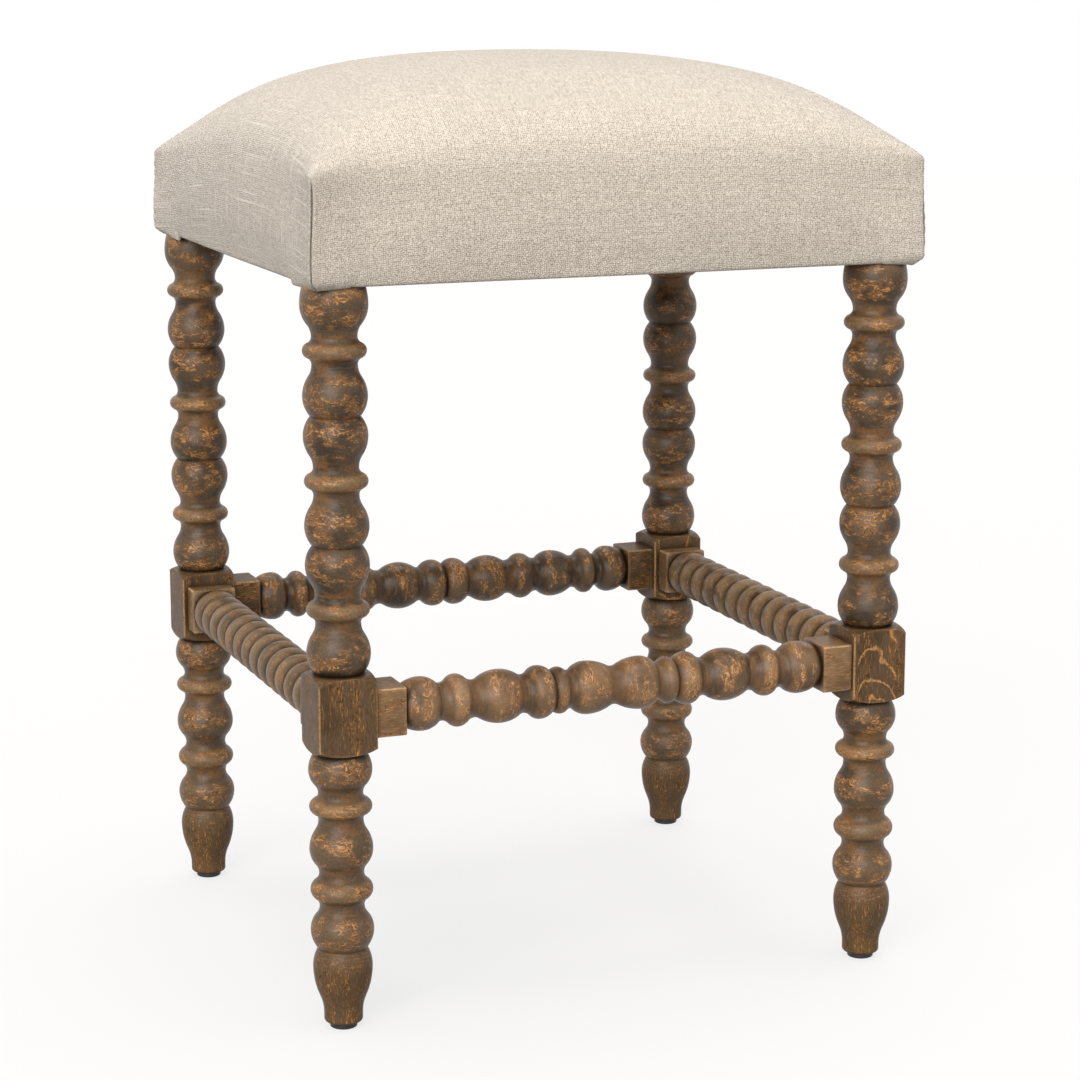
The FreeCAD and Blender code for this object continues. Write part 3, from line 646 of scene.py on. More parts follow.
def rounded(x, y):
    """Move plan points near the four corners onto a round corner."""
    ax = (np.abs(x) - (half[0] - corner_radius)) / corner_radius
    ay = (np.abs(y) - (half[1] - corner_radius)) / corner_radius
    inside = (ax > 0) & (ay > 0)
    pull = np.where(inside, np.maximum(ax, ay) / np.maximum(np.hypot(ax, ay), 1e-9), 1.0)
    new_x = np.sign(x) * (half[0] - corner_radius + np.where(inside, ax * pull, ax) * corner_radius)
    new_y = np.sign(y) * (half[1] - corner_radius + np.where(inside, ay * pull, ay) * corner_radius)
    return new_x, new_y


half = tuple(h - swell_slack for h in seat_half)
line_x, line_y = (crowded_line(count) for count in grid_count)
nx, ny = grid_count
edge_i = np.concatenate([np.arange(nx), np.full(ny - 1, nx - 1), np.arange(nx - 2, -1, -1), np.zeros(ny - 2, int)])
edge_j = np.concatenate([np.zeros(nx, int), np.arange(1, ny), np.full(nx - 1, ny - 1), np.arange(ny - 2, 0, -1)])
edge_count = len(edge_i)
column = np.zeros(grid_count, int)
column[edge_i, edge_j] = np.arange(edge_count)

flat_x, flat_y = line_x[edge_i] * half[0], line_y[edge_j] * half[1]
edge_x, edge_y = rounded(flat_x, flat_y)
gap_x, gap_y = half[0] - np.abs(flat_x), half[1] - np.abs(flat_y)
on_side = gap_x < gap_y
out_x = np.where(gap_y < corner_radius, edge_x - np.sign(edge_x) * (half[0] - corner_radius), edge_x * on_side)
out_y = np.where(gap_x < corner_radius, edge_y - np.sign(edge_y) * (half[1] - corner_radius), edge_y * ~on_side)
out_x, out_y = (part / np.hypot(out_x, out_y) for part in (out_x, out_y))
print("seat grid", nx, "x", ny, "with", edge_count, "columns round the sides")

# %% Crown, sides and hem
row_steps = [(h, 0.0) for h in np.linspace(side_height, hem_roll, side_rows + 1)[1:]]
for turn in hem_turns:
    angle = math.radians(turn)
    row_steps.append((hem_roll * (1 - math.sin(angle)), hem_roll * (1 - math.cos(angle))))


def seat_form():
    """Crown grid, and rows down the sides and under the hem."""
    grid_x, grid_y = np.meshgrid(line_x, line_y, indexing="ij")
    rise = ((1 - np.abs(grid_x) ** crown_power) * (1 - np.abs(grid_y) ** crown_power)) ** crown_fullness
    x, y = rounded(grid_x * half[0], grid_y * half[1])
    crown = np.stack([x, y, rim + (crown_rise - swell_slack) * rise], axis=-1)
    rows = []
    for height, inset in row_steps:
        out = -side_draw * max(0.0, 1 - height / belly_height) ** 2 - inset
        level = np.full(edge_count, seat_under + height)
        rows.append(np.stack([edge_x + out * out_x, edge_y + out * out_y, level], axis=-1))
    for inset in hem_insets:
        level = np.full(edge_count, seat_under)
        rows.append(np.stack([edge_x * (1 - inset / half[0]), edge_y * (1 - inset / half[1]), level], axis=-1))
    return crown, np.array(rows)


seat_crown, seat_rows = seat_form()
print("rows below the crown:", len(seat_rows))


# %% Soft turns and flared corners
def soft_thread(points):
    """One thread from hem to hem, averaged along its length except near corners and hems."""
    steps = np.linalg.norm(np.diff(points, axis=0), axis=1)
    run = np.concatenate([[0.0], np.cumsum(steps)])
    from_corner = np.hypot(half[0] - np.abs(points[:, 0]), half[1] - np.abs(points[:, 1]))
    spread = round_over * smooth_step(0, corner_reach, from_corner)
    spread = np.minimum(spread, (points[:, 2] - seat_under) / hem_firmness)
    spread = np.maximum(spread, least_spread)
    weight = np.exp(-0.5 * ((run[:, None] - run[None]) / spread[:, None]) ** 2) * np.gradient(run)[None]
    return weight @ points / weight.sum(axis=1, keepdims=True)


def soften(crown, rows):
    """Average every thread across the seat, and then every thread along it."""
    walls = rows[:side_rows]
    for j in range(ny):
        first, last = column[0, j], column[-1, j]
        thread = soft_thread(np.concatenate([walls[::-1, first], crown[:, j], walls[:, last]]))
        walls[::-1, first], crown[:, j], walls[:, last] = np.split(thread, [side_rows, side_rows + nx])
    for i in range(nx):
        first, last = column[i, 0], column[i, -1]
        thread = soft_thread(np.concatenate([walls[::-1, first], crown[i], walls[:, last]]))
        walls[::-1, first], crown[i], walls[:, last] = np.split(thread, [side_rows, side_rows + ny])


def flare(points):
    """Push the corners out, where the folded cloth is thickest, and let the back ones sink."""
    from_corner = np.hypot(half[0] - np.abs(points[..., 0]), half[1] - np.abs(points[..., 1]))
    height = points[..., 2] - seat_under
    push = corner_flare * math.sqrt(0.5) * np.exp(-(from_corner / flare_reach) ** 2)
    push = push * smooth_step(0.0, flare_start, height)
    sink = back_drop * np.exp(-(from_corner / back_reach) ** 2) * smooth_step(0.0, side_height, height)
    points[..., 2] -= sink * smooth_step(-seat_half[1] / 2, seat_half[1] / 2, points[..., 1])
    points[..., 0] += np.sign(points[..., 0]) * push
    points[..., 1] += np.sign(points[..., 1]) * push


soften(seat_crown, seat_rows)
flare(seat_crown)
flare(seat_rows)
print("corners reach", round(float(seat_rows[..., 0].max()) / MM, 1), "mm from the middle")

# %% [markdown]
# ## Sewn corners and hem flaps
# At each corner two sides of linen meet in a seam that runs from the hem up to the
# rim. The seam draws in a narrow groove with a raised lip each side, and the thread
# gathers the cloth into small puckers, with a dimple below the rim. At the hem the
# spare cloth is folded round the corner into a flap. It ends in a step on the left
# and right sides, and in a small notch at the front and back.
#
# These could be sculpted, but a few soft steps of the distance from the corner and
# the height above the hem give the same shapes and can be tuned by one number each.

# %% Corner seams and puckers
seam_depth = 1.4 * MM
seam_reach = 1.2 * MM
seam_end = 7 * MM
seam_wobble = 0.7 * MM
wobble_run = 11 * MM
lip_height = 0.4 * MM
lip_aside = 3 * MM
lip_width = 1.5 * MM
pucker_depth = 0.35 * MM
pucker_pitch = 8.5 * MM
pucker_reach = 8 * MM
pucker_start = (0.8 * MM, 3 * MM)
dimple_depth = 1.2 * MM
dimple_aside = 10 * MM
dimple_below = 24 * MM
dimple_size = 9 * MM
front_dimple = 0.35
from_corner = np.where(on_side, gap_y, gap_x)
corner = (flat_x > 0) * 1 + (flat_y > 0) * 2


def seam_relief(height):
    """How far the corner seams move the cloth of one row outwards, and how near the seam is."""
    wobble = seam_wobble * np.sin(height / wobble_run + 1.7 * corner)
    reach = np.abs(np.where(on_side, from_corner, -from_corner) - wobble)
    under_rim = smooth_step(0, seam_end, side_height - height)
    seam = np.exp(-(reach / seam_reach) ** 2)
    lip = lip_height * np.exp(-((reach - lip_aside) / lip_width) ** 2)
    wave = np.sin(2 * np.pi * height / pucker_pitch + 1.9 * corner + np.where(on_side, 0.8, 0.0))
    pucker = pucker_depth * wave * np.exp(-reach / pucker_reach) * smooth_step(*pucker_start, reach)
    dimple_at = np.hypot(reach - dimple_aside, (side_height - height - dimple_below) / 2)
    dimple = dimple_depth * np.where(on_side, 1.0, front_dimple) * np.exp(-(dimple_at / dimple_size) ** 2)
    return (lip + pucker - seam_depth * seam) * under_rim - dimple, seam * under_rim


print("seams", round((side_height - seam_end) / MM, 1), "mm long under the rim")

# %% Hem flaps
flap_proud = 0.6 * MM
flap_edge = 3 * MM
flap_heights = (2 * MM, 26 * MM)
corner_drop = 2.0 * MM
side_flap = {"width": 57 * MM, "drop": 3.2 * MM}
front_flap = {"width": 28 * MM, "drop": 0.3 * MM}
notch_depth = 1.4 * MM
notch_width = 1.1 * MM
notch_heights = (3 * MM, 9 * MM)


def flap_relief(height):
    """How far the folded flaps move the cloth of one row outwards and down."""
    width = np.where(on_side, side_flap["width"], front_flap["width"]) * (1 + 0.05 * np.sin(2.3 * corner))
    flap = (1 - smooth_step(width - flap_edge, width, from_corner)) * (1 - smooth_step(*flap_heights, height))
    notch = np.exp(-((from_corner - width) / notch_width) ** 2) * (1 - smooth_step(*notch_heights, height))
    end_drop = np.where(on_side, side_flap["drop"], front_flap["drop"])
    drop = corner_drop + (end_drop - corner_drop) * np.minimum(from_corner / width, 1.0)
    return flap_proud * flap - notch_depth * notch, drop * flap


def sewn(rows):
    """The rows with their corners sewn and their flaps let down."""
    result = rows.copy()
    for row, (height, _) in enumerate(row_steps):
        seam_out, _ = seam_relief(height)
        flap_out, drop = flap_relief(height)
        out = seam_out + flap_out
        result[row] += np.stack([out * out_x, out * out_y, -drop], axis=-1)
    return result


print("flaps", side_flap["width"] / MM, "and", front_flap["width"] / MM, "mm wide")

# %% [markdown]
# ## One skin for the seat
# The crown's grid and the rows below it share their points at the rim, so the seat is one
# closed skin. Blender could bridge the two edges, but the points stand in a known order,
# so each quad is simply named by the numbers of its points. One large face closes the
# underside, where the dust sheet hides it.

# %% Points and faces of the seat
def all_points(crown, rows):
    """The crown's points, and after them the rows'."""
    return np.concatenate([crown.reshape(-1, 3), rows.reshape(-1, 3)])


def seat_faces(row_count):
    """Quads of the crown grid and the rows, and one face that closes the underside."""
    def at(i, j):
        return i * ny + j

    faces = [(at(i, j), at(i + 1, j), at(i + 1, j + 1), at(i, j + 1))
             for i in range(nx - 1) for j in range(ny - 1)]
    upper = [at(i, j) for i, j in zip(edge_i, edge_j)]
    for row in range(row_count):
        first = nx * ny + row * edge_count
        lower = list(range(first, first + edge_count))
        for k in range(edge_count):
            n = (k + 1) % edge_count
            faces.append((upper[k], lower[k], lower[n], upper[n]))
        upper = lower
    faces.append(tuple(reversed(upper)))
    return faces


row_count = len(seat_rows)
plain_points = all_points(seat_crown, seat_rows)
sewn_points = all_points(seat_crown, sewn(seat_rows))
seat_quads = seat_faces(row_count)
print("seat form:", len(sewn_points), "points,", len(seat_quads), "faces")

# %% [markdown]
# ## Swelling the linen
# Foam presses the linen outwards, so the sides bulge a little between the corners
# and the crown tightens. Blender's cloth can do that: a copy of the plain form is
# remeshed into even cells, its underside is pinned where the staples hold it, and
# air pressure blows it up for twenty frames with gravity off. The form starts two
# millimetres too small, long moves are drawn in towards the cap, and each move is
# averaged with its neighbours, which irons out wrinkles that tight linen doesn't have.
#
# The remeshed copy has no clean rows for the weave to follow, so only its movement
# is kept: every point of the neat grid takes the movement of the nearest spot on
# the copy.

# %% Sizes and helpers for the swelling
swell_cell = 6 * MM
swell_frames = 20
swell_pressure = 4.0
swell_cap = 3 * MM
stapled_height = 5 * MM
swell_smoothing = 24


def new_object(name, points, faces):
    """A mesh object from points and faces, linked to the scene."""
    mesh = bpy.data.meshes.new(name)
    mesh.from_pydata([tuple(p) for p in points], [], faces)
    mesh.validate()
    made = bpy.data.objects.new(name, mesh)
    bpy.context.scene.collection.objects.link(made)
    return made


def shown_points(shape):
    """A mesh's points as its modifiers show them, and the mesh itself."""
    evaluated = shape.evaluated_get(bpy.context.evaluated_depsgraph_get())
    mesh = bpy.data.meshes.new_from_object(evaluated)
    points = np.empty(len(mesh.vertices) * 3)
    mesh.vertices.foreach_get("co", points)
    return points.reshape(-1, 3), mesh


print("cells of", swell_cell / MM, "mm, blown up for", swell_frames, "frames")


# %% Blow up a copy
def even_copy():
    """A copy of the plain form in even cells, with its points and its mesh."""
    copy = new_object("swelling_copy", plain_points, seat_quads)
    even = copy.modifiers.new("even_cells", "REMESH")
    even.mode = "VOXEL"
    even.voxel_size = swell_cell
    start, mesh = shown_points(copy)
    copy.modifiers.clear()
    copy.data = mesh
    return copy, start, mesh


def blow_up(copy, start):
    """How far each point of the copy moves under air pressure, drawn in towards the cap."""
    pinned = copy.vertex_groups.new(name="stapled_hem")
    low_points = np.flatnonzero(start[:, 2] < seat_under + stapled_height)
    pinned.add([int(i) for i in low_points], 1.0, "REPLACE")
    cloth = copy.modifiers.new("blown_cloth", "CLOTH")
    cloth.settings.use_pressure = True
    cloth.settings.uniform_pressure_force = swell_pressure
    cloth.settings.effector_weights.gravity = 0.0
    cloth.settings.vertex_group_mass = pinned.name
    cloth.point_cache.frame_start = 1
    cloth.point_cache.frame_end = swell_frames
    for step in range(1, swell_frames + 1):
        bpy.context.scene.frame_set(step)
    end, blown = shown_points(copy)
    bpy.data.meshes.remove(blown)
    move = end - start
    length = np.linalg.norm(move, axis=1, keepdims=True)
    return move * swell_cap * np.tanh(length / swell_cap) / np.maximum(length, 1e-9)


def ironed(move, mesh):
    """The movement, averaged with that of the neighbours again and again."""
    ends = np.array([tuple(edge.vertices) for edge in mesh.edges])
    pairs = np.concatenate([ends, ends[:, ::-1]])
    points = len(move)
    degree = np.bincount(pairs[:, 0], minlength=points)[:, None]
    for step in range(swell_smoothing):
        total = [np.bincount(pairs[:, 0], move[pairs[:, 1], axis], points) for axis in range(3)]
        move = (move + np.stack(total, axis=-1) / degree) / 2
    return move


print("movement kept under", swell_cap / MM, "mm")


# %% Keep the copy's movement
def swelling():
    """How far each point of the neat grid moves when the cloth is blown up."""
    copy, start, mesh = even_copy()
    move = ironed(blow_up(copy, start), mesh)
    cells = [tuple(face.vertices) for face in mesh.polygons]
    surface = BVHTree.FromPolygons([Vector(p) for p in start], cells)
    result = np.zeros_like(sewn_points)
    for k, point in enumerate(plain_points):
        spot, _, cell, _ = surface.find_nearest(Vector(point))
        ring = cells[cell]
        result[k] = np.array(poly_3d_calc([Vector(start[i]) for i in ring], spot)) @ move[list(ring)]
    bpy.context.scene.frame_set(1)
    bpy.data.objects.remove(copy)
    bpy.data.meshes.remove(mesh)
    return result


moved = swelling()
seat_final = sewn_points + moved
print("linen moved", round(float(np.linalg.norm(moved, axis=1).max()) / MM, 2), "mm at most")

# %% [markdown]
# ## The linen cushion
# The final mesh is the neat grid with that movement. The cloth was cut in one piece
# and pulled down on all sides, so its threads run over the crown and on down each
# side. That place in the cloth, in metres along warp and weft, is kept at every face
# corner, because two sides that meet in a seam disagree there. A third number says how
# near the seam is.
#
# The way over the crown is longer in the middle than near a corner, so threads on the
# sides bow upwards. The cloth gives a little, so the bow is half of what the lengths
# alone would ask for.

# %% Build the cushion
cushion = new_object("seat_cushion", seat_final, seat_quads)
cushion.data.polygons.foreach_set("use_smooth", [True] * len(cushion.data.polygons))
crown_grid = seat_final[:nx * ny].reshape(nx, ny, 3)
print("cushion top at", round(float(crown_grid[..., 2].max()) / MM, 1), "mm")


# %% Lay out its threads
def thread_runs(axis):
    """Distance along the threads from the seat's middle line, half their own and half the middle one's."""
    steps = np.linalg.norm(np.diff(crown_grid, axis=axis), axis=-1)
    run = np.insert(np.cumsum(steps, axis=axis), 0, 0.0, axis=axis)
    run = run - run.take([grid_count[axis] // 2], axis=axis)
    return (run + run.take([grid_count[1 - axis] // 2], axis=1 - axis)) / 2


warp_run, weft_run = thread_runs(0), thread_runs(1)
cloth_place = np.zeros((len(seat_final), 2, 3))
cloth_place[:nx * ny, :, :2] = np.stack([warp_run, weft_run], axis=-1).reshape(-1, 1, 2)
rim_warp, rim_weft = warp_run[edge_i, edge_j], weft_run[edge_i, edge_j]
side_run = np.zeros(edge_count)
previous = crown_grid[edge_i, edge_j]
for row in range(row_count):
    first = nx * ny + row * edge_count
    points = seat_final[first:first + edge_count]
    side_run = side_run + np.linalg.norm(points - previous, axis=1)
    reach_x = rim_warp + np.where(rim_warp < 0, -side_run, side_run)
    reach_y = rim_weft + np.where(rim_weft < 0, -side_run, side_run)
    # The seam's nearness, which the linen turns into painted shade along the seam.
    seam = seam_relief(row_steps[row][0])[1] if row < len(row_steps) else np.zeros(edge_count)
    cloth_place[first:first + edge_count, 0] = np.stack([rim_warp, reach_y, seam], axis=-1)
    cloth_place[first:first + edge_count, 1] = np.stack([reach_x, rim_weft, seam], axis=-1)
    previous = points

threads = cushion.data.attributes.new("cloth", "FLOAT_VECTOR", "CORNER")
values = np.zeros((len(cushion.data.loops), 3), np.float32)
for face in cushion.data.polygons:
    on_left_or_right = int(abs(face.normal.x) > abs(face.normal.y))
    for loop in face.loop_indices:
        values[loop] = cloth_place[cushion.data.loops[loop].vertex_index, on_left_or_right]
threads.data.foreach_set("vector", values.ravel())
print("cloth cut about", [round(2 * float(run.max() + side_height), 3) for run in (warp_run, weft_run)], "m")

# %% [markdown]
# ## Slubby linen
# The cover is undyed linen in a plain weave. Every crossing of two threads is a small
# pale knuckle with a darker gap round it. The yarn is hand-spun, so the crossings are
# uneven and the cloth looks like fine pebbles. Slubs, the thick places of the yarn, run
# on for a few centimetres as thin pale lines.
#
# A weave could be an image, but it has to follow the pulled cloth, so it is worked out
# from the place in the cloth. A Voronoi pattern puts one cell at each crossing, a little
# off its place, and the distance from the cell's middle is the height of the knuckle.
# Noise that is stretched along either thread gives the slubs. The nearness of the seam
# paints shade along the line where the needle went.

# %% Crossings, yarns and slubs of the linen
thread_pitch = 1.35 * MM  # about twice the real one, which is too fine to show from here
drift_size = 6 * MM
drift_reach = 1.6 * MM
pebble_size = 2.2 * MM
warp_slub = 50 * MM
weft_slub = 130 * MM


def woven_place(tree, cloth):
    """The place in the cloth, counted in threads that wander a little."""
    place = add(tree, "ShaderNodeVectorMath", TIMES, {0: cloth, 1: (1.0, 1.0, 0.0)})
    drift = add(tree, "ShaderNodeTexNoise", {}, {"Vector": place, "Scale": 1 / drift_size, "Detail": 4.0})
    drift = add(tree, "ShaderNodeVectorMath", MINUS, {0: drift.outputs["Color"], 1: (0.5, 0.5, 0.5)})
    drift = add(tree, "ShaderNodeVectorMath", {"operation": "SCALE"}, {0: drift, "Scale": drift_reach})
    place = add(tree, "ShaderNodeVectorMath", {"operation": "ADD"}, {0: place, 1: drift})
    return add(tree, "ShaderNodeVectorMath", {"operation": "SCALE"}, {0: place, "Scale": 1 / thread_pitch})


def knuckles(tree, place):
    """Height of the crossings, lumpy over a few threads."""
    dot = add(tree, "ShaderNodeTexVoronoi", {"voronoi_dimensions": "2D"},
              {"Vector": place, "Scale": 1.0, "Randomness": 0.46})
    dot = add(tree, "ShaderNodeMapRange", SOFT_STEP,
              {"Value": dot.outputs["Distance"], "From Min": 0.62, "From Max": 0.16})
    lump_place = add(tree, "ShaderNodeVectorMath", TIMES,
                     {0: add(tree, "ShaderNodeTexCoord").outputs["Object"], 1: (1.0, 0.42, 1.0)})
    pebble = add(tree, "ShaderNodeTexNoise", {}, {"Vector": lump_place, "Scale": 1 / pebble_size, "Detail": 2.0})
    pebble = add(tree, "ShaderNodeMapRange", {}, {"Value": pebble, "From Min": 0.3, "From Max": 0.7})
    return add(tree, "ShaderNodeMath", TIMES_PLUS, {0: pebble, 1: 0.5, 2: dot})


def slub_lines(tree, place):
    """Thick places of both yarns, which show most on the left and right sides."""
    slubs = []
    for stretch in ((thread_pitch / warp_slub, 1.1, 0.0), (1.1, thread_pitch / weft_slub, 0.0)):
        run = add(tree, "ShaderNodeVectorMath", TIMES_PLUS, {0: place, 1: stretch, 2: (11.3, 5.9, 2.0)})
        slub = add(tree, "ShaderNodeTexNoise", {}, {"Vector": run, "Scale": 1.0, "Detail": 0.0})
        slubs.append(add(tree, "ShaderNodeMapRange", SOFT_STEP, {"Value": slub, "From Min": 0.66, "From Max": 0.78}))
    slub = add(tree, "ShaderNodeMath", LARGER, {0: slubs[0], 1: slubs[1]})
    normal = add(tree, "ShaderNodeNewGeometry").outputs["True Normal"]
    side = add(tree, "ShaderNodeSeparateXYZ", {}, {"Vector": normal}).outputs["X"]
    side = add(tree, "ShaderNodeMath", {"operation": "ABSOLUTE"}, {0: side})
    open_weave = add(tree, "ShaderNodeMapRange", {},
                     {"Value": side, "From Min": 0.4, "From Max": 0.9, "To Min": 0.16, "To Max": 0.8})
    return add(tree, "ShaderNodeMath", TIMES, {0: slub, 1: open_weave})


def yarn_tone(tree, place):
    """Yarns that turn a little paler and darker along their length."""
    yarns = []
    for stretch in ((0.03, 0.7, 0.0), (0.7, 0.03, 0.0)):
        run = add(tree, "ShaderNodeVectorMath", TIMES_PLUS, {0: place, 1: stretch, 2: (3.1, 7.7, 0.0)})
        yarns.append(add(tree, "ShaderNodeTexNoise", {}, {"Vector": run, "Scale": 1.0, "Detail": 2.0}))
    yarn = add(tree, "ShaderNodeMix", {}, {"Factor": 0.4, "A": yarns[0], "B": yarns[1]})
    return add(tree, "ShaderNodeMapRange", {},
               {"Value": yarn, "From Min": 0.3, "From Max": 0.7, "To Min": 0.9, "To Max": 1.1})


print("linen with", round(1 / (thread_pitch / MM), 2), "threads per mm")

# %% Finish for the linen
groove_reach = 4 * MM
knuckle_height = 0.35 * MM


def slub_linen(name):
    """Plain-weave linen that follows the cloth's own threads."""
    finish, tree = new_finish(name)
    cloth = add(tree, "ShaderNodeAttribute", {"attribute_name": "cloth"}).outputs["Vector"]
    place = woven_place(tree, cloth)
    height = add(tree, "ShaderNodeMath", {"operation": "ADD"}, {0: slub_lines(tree, place), 1: knuckles(tree, place)})
    share = add(tree, "ShaderNodeMapRange", {}, {"Value": height, "From Min": 0.0, "From Max": 1.5})
    colour = add(tree, "ShaderNodeMix", COLOURS, {"Factor": share, "A": linear("#9c8f7f"), "B": linear("#ede2d3")})
    colour = add(tree, "ShaderNodeMix", TINT, {"Factor": 1.0, "A": colour, "B": yarn_tone(tree, place)})

    # Light hardly reaches into the seams and notches, so ambient occlusion paints shade there, and the needle's line
    # gets the darkest painted shade.
    groove = add(tree, "ShaderNodeAmbientOcclusion", {"samples": shade_samples}, {"Distance": groove_reach})
    groove = add(tree, "ShaderNodeMapRange", SOFT_STEP,
                 {"Value": groove.outputs["AO"], "From Min": 0.76, "From Max": 0.34, "To Max": 0.85})
    painted_seam_shade = add(tree, "ShaderNodeSeparateXYZ", {}, {"Vector": cloth}).outputs["Z"]
    seam = add(tree, "ShaderNodeMath", LARGER, {0: groove, 1: painted_seam_shade})
    colour = add(tree, "ShaderNodeMix", COLOURS, {"Factor": seam, "A": colour, "B": linear("#5b4e42")})
    bump = add(tree, "ShaderNodeBump", {}, {"Strength": 0.85, "Distance": knuckle_height, "Height": height})
    fabric = add(tree, "ShaderNodeBsdfPrincipled", {},
                 {"Base Color": colour, "Roughness": 0.9, "Specular IOR Level": 0.2, "Sheen Weight": 0.2,
                  "Sheen Roughness": 0.5, "Normal": bump})
    add(tree, "ShaderNodeOutputMaterial", {}, {"Surface": fabric})
    return finish


linen = slub_linen("slubby_undyed_linen")
cushion.data.materials.append(linen)
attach(cushion, "root")
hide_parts("seat_cover", "seat_batting", "seat_foam")
give(linen, "seat_cover")
# Wadding is fluffy white without any gleam, and foam is cream with tiny open cells.
wadding = fine_grained("polyester_wadding", "#f0eee8", "#e2dfd6", grain=2 * MM, roughness=0.95, metallic=0.0)
give(wadding, "seat_batting")
foam = fine_grained("open_cell_foam", "#e8dfbf", "#d6cba6", grain=0.8 * MM, roughness=0.95, metallic=0.0)
give(foam, "seat_foam")
print("cushion of", len(cushion.data.polygons), "faces in slubby linen")

# %% [markdown]
# ## Corner stitches
# The corner seams are closed by hand with linen thread: short slanting stitches
# that cross the groove and sink in at both ends. They could be a texture, but real
# little tubes catch the light. Each one is laid on the cushion by casting rays at
# the corner from outside.

# %% Sew the corners
stitch_pitch = 3.4 * MM
stitch_reach = 0.9 * MM
stitch_radius = 0.22 * MM
stitch_slant = 0.7 * MM
stitch_ends = (7 * MM, 4 * MM)
ray_start = 50 * MM
cushion_surface = BVHTree.FromPolygons([Vector(p) for p in seat_final], seat_quads)
stitch_curve = bpy.data.curves.new("corner_stitches", "CURVE")
stitch_curve.dimensions = "3D"
stitch_curve.bevel_depth = stitch_radius
stitch_curve.bevel_resolution = 1
stitch_curve.use_fill_caps = True
for side_x in (-1, 1):
    for side_y in (-1, 1):
        outward = Vector((side_x, side_y, 0)).normalized()
        sideways = Vector((-side_y, side_x, 0)).normalized()
        tip = Vector((side_x * half[0], side_y * half[1], 0))
        height = stitch_ends[0]
        while height < side_height - stitch_ends[1]:
            spots = []
            for share in (-1.0, -0.5, 0.0, 0.5, 1.0):
                origin = tip + outward * ray_start + sideways * (share * stitch_reach)
                origin.z = seat_under + height + share * stitch_slant
                spot = cushion_surface.ray_cast(origin, -outward)[0]
                spots.append(spot + outward * stitch_radius * (0.6 - 1.2 * share ** 2))
            spline = stitch_curve.splines.new("POLY")
            spline.points.add(len(spots) - 1)
            for point, spot in zip(spline.points, spots):
                point.co = (*spot, 1.0)
            height += stitch_pitch
stitches = bpy.data.objects.new("corner_stitches", stitch_curve)
bpy.context.scene.collection.objects.link(stitches)
# Waxed thread: darker than the cloth, with a faint gleam on each stitch.
thread = fine_grained("waxed_linen_thread", "#8f806e", "#6f6253", grain=0.5 * MM, roughness=0.7, metallic=0.0)
stitch_curve.materials.append(thread)
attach(stitches, "root")
print("corner stitches:", len(stitch_curve.splines))

# %% [markdown]
# ## Dust sheet
# The underside is closed by a thin black bonded cloth, stapled over the turned-under
# linen and cut away round the leg tops. It is a flat sheet that sags a little. Its
# outline is drawn once and cut into cells along straight lines, so the cut-outs
# stay clean while the middle can bend.

# %% Outline of the dust sheet
dust_low, dust_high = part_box("dust_cover")
dust_half = (dust_high.x, dust_high.y)
dust_level = (dust_low.z + dust_high.z) / 2
leg_clearance = 24 * MM
cut_steps = 14


def dust_outline():
    """The sheet's outline, with a round cut-out at each leg."""
    reach_x, reach_y = dust_half[0] - leg_x, dust_half[1] - leg_y
    first = math.pi + math.asin(reach_y / leg_clearance)
    last = math.acos(reach_x / leg_clearance)
    arc = [first + (last - first) * k / cut_steps for k in range(cut_steps + 1)]
    cut_out = [(leg_x + leg_clearance * math.cos(a), -leg_y + leg_clearance * math.sin(a)) for a in arc]
    outline = []
    for side_x, side_y in ((1, -1), (1, 1), (-1, 1), (-1, -1)):
        points = [(side_x * x, -side_y * y) for x, y in cut_out]
        outline += points if side_x * side_y < 0 else points[::-1]
    return outline


outline = dust_outline()
print("outline of", len(outline), "points")

# %% Cut the dust sheet and let it sag
dust_cell = 12 * MM
dust_thickness = 0.5 * MM
dust_sag = 2.5 * MM
ripple = 0.35 * MM
ripple_run = 5.4 * MM
cloth = bmesh.new()
cloth.faces.new([cloth.verts.new((x, y, dust_level)) for x, y in outline])
for axis in (0, 1):
    across = Vector((1, 0, 0)) if axis == 0 else Vector((0, 1, 0))
    lines = int(dust_half[axis] / dust_cell)
    for line in range(-lines, lines + 1):
        everything = cloth.verts[:] + cloth.edges[:] + cloth.faces[:]
        bmesh.ops.bisect_plane(cloth, geom=everything, plane_co=across * (line * dust_cell), plane_no=across)
for point in cloth.verts:
    x, y = point.co.x / dust_half[0], point.co.y / dust_half[1]
    slack = (1 - x * x) * (1 - y * y)
    wave = math.sin(point.co.x / ripple_run) * y ** 8 + math.sin(point.co.y / ripple_run) * x ** 8
    point.co.z -= dust_sag * slack + ripple * (1 + wave) * (1 - max(abs(x), abs(y)) ** 30)
dust_mesh = bpy.data.meshes.new("dust_sheet")
cloth.to_mesh(dust_mesh)
cloth.free()
dust_sheet = bpy.data.objects.new("dust_sheet", dust_mesh)
bpy.context.scene.collection.objects.link(dust_sheet)
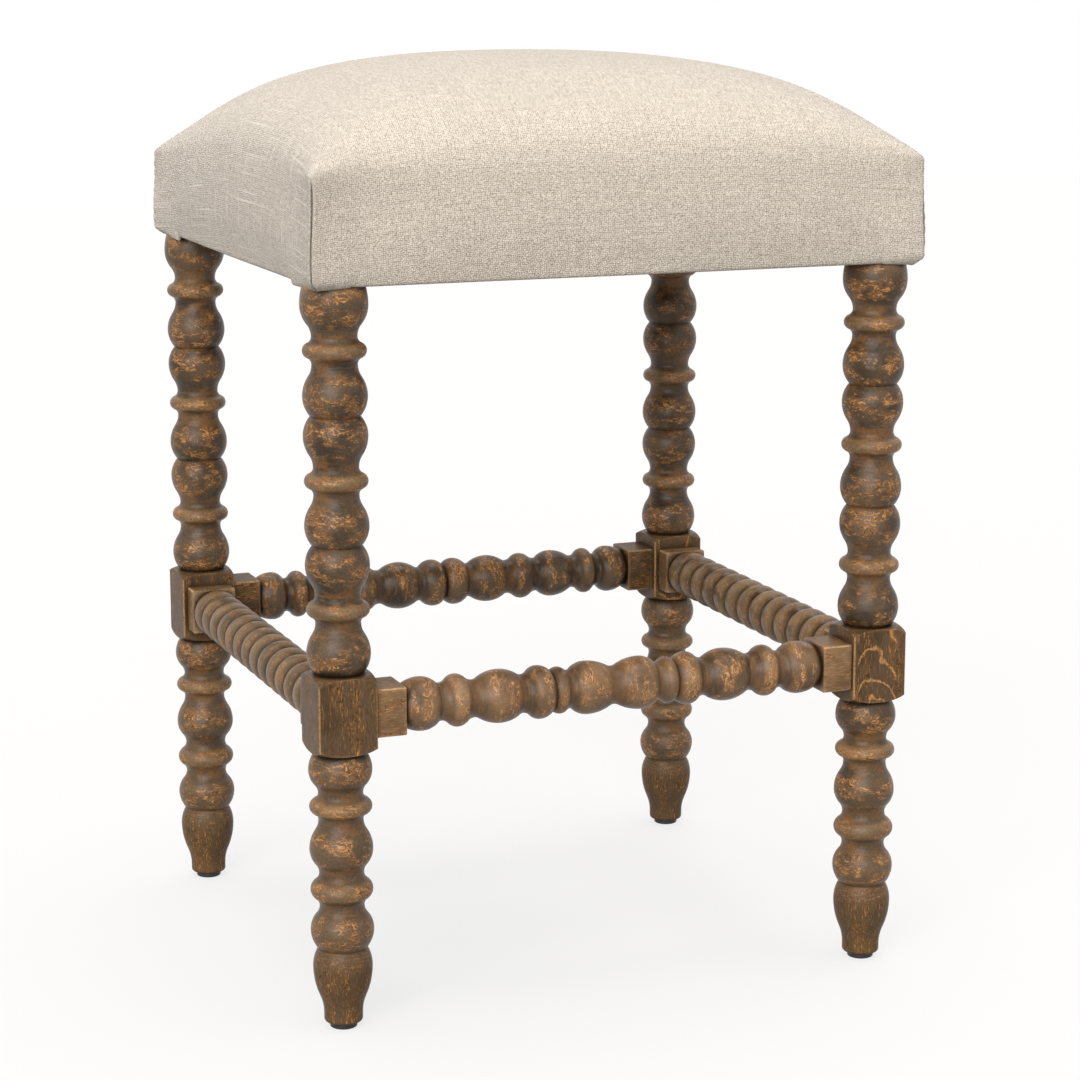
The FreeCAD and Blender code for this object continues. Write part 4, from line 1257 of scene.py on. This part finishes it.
dust_mesh.polygons.foreach_set("use_smooth", [True] * len(dust_mesh.polygons))
thicken = dust_sheet.modifiers.new("cloth_thickness", "SOLIDIFY")
thicken.thickness = dust_thickness
# Bonded cloth: dull black with a faint mottle, since its fibres lie every way.
bonded = fine_grained("black_bonded_dust_cloth", "#2c2a29", "#1c1b1a", grain=1.2 * MM, roughness=0.95, metallic=0.0)
dust_mesh.materials.append(bonded)
give(bonded, "dust_cover")
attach(dust_sheet, "root")
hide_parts("dust_cover")

# %% [markdown]
# ## Staples
# The dust sheet is held by wire staples two fingers apart. Only their crowns show,
# each set a little askew by the hand that drove it. Each could be a mesh, but a bevelled
# curve is enough: its two ends turn up into the wood.

# %% Staple the sheet
staple_width = 10 * MM
staple_wire = 0.55 * MM
staple_pitch = 34 * MM
staple_inset = 7 * MM
staple_legs = 2.5 * MM
askew = np.random.default_rng(7)
staple_curve = bpy.data.curves.new("dust_staples", "CURVE")
staple_curve.dimensions = "3D"
staple_curve.bevel_depth = staple_wire
staple_curve.bevel_resolution = 2
staple_curve.use_fill_caps = True
for axis in (0, 1):
    reach = (leg_x, leg_y)[axis] - leg_clearance - staple_width
    count = int(2 * reach / staple_pitch) + 1
    for side in (-1, 1):
        for k in range(count):
            middle = Vector((0, 0, dust_level - dust_thickness - staple_wire))
            middle[axis] = -reach + 2 * reach * k / (count - 1)
            middle[1 - axis] = side * (dust_half[1 - axis] - staple_inset + askew.uniform(-1, 1) * MM)
            turn = askew.uniform(-0.12, 0.12) + axis * math.pi / 2
            along = Vector((math.cos(turn), math.sin(turn), 0)) * (staple_width / 2)
            up = Vector((0, 0, staple_legs))
            spline = staple_curve.splines.new("POLY")
            spline.points.add(3)
            spots = (middle - along + up, middle - along, middle + along, middle + along + up)
            for point, spot in zip(spline.points, spots):
                point.co = (*spot, 1.0)
staples = bpy.data.objects.new("dust_staples", staple_curve)
bpy.context.scene.collection.objects.link(staples)
staple_curve.materials.append(zinc)
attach(staples, "root")
print("staples:", len(staple_curve.splines))
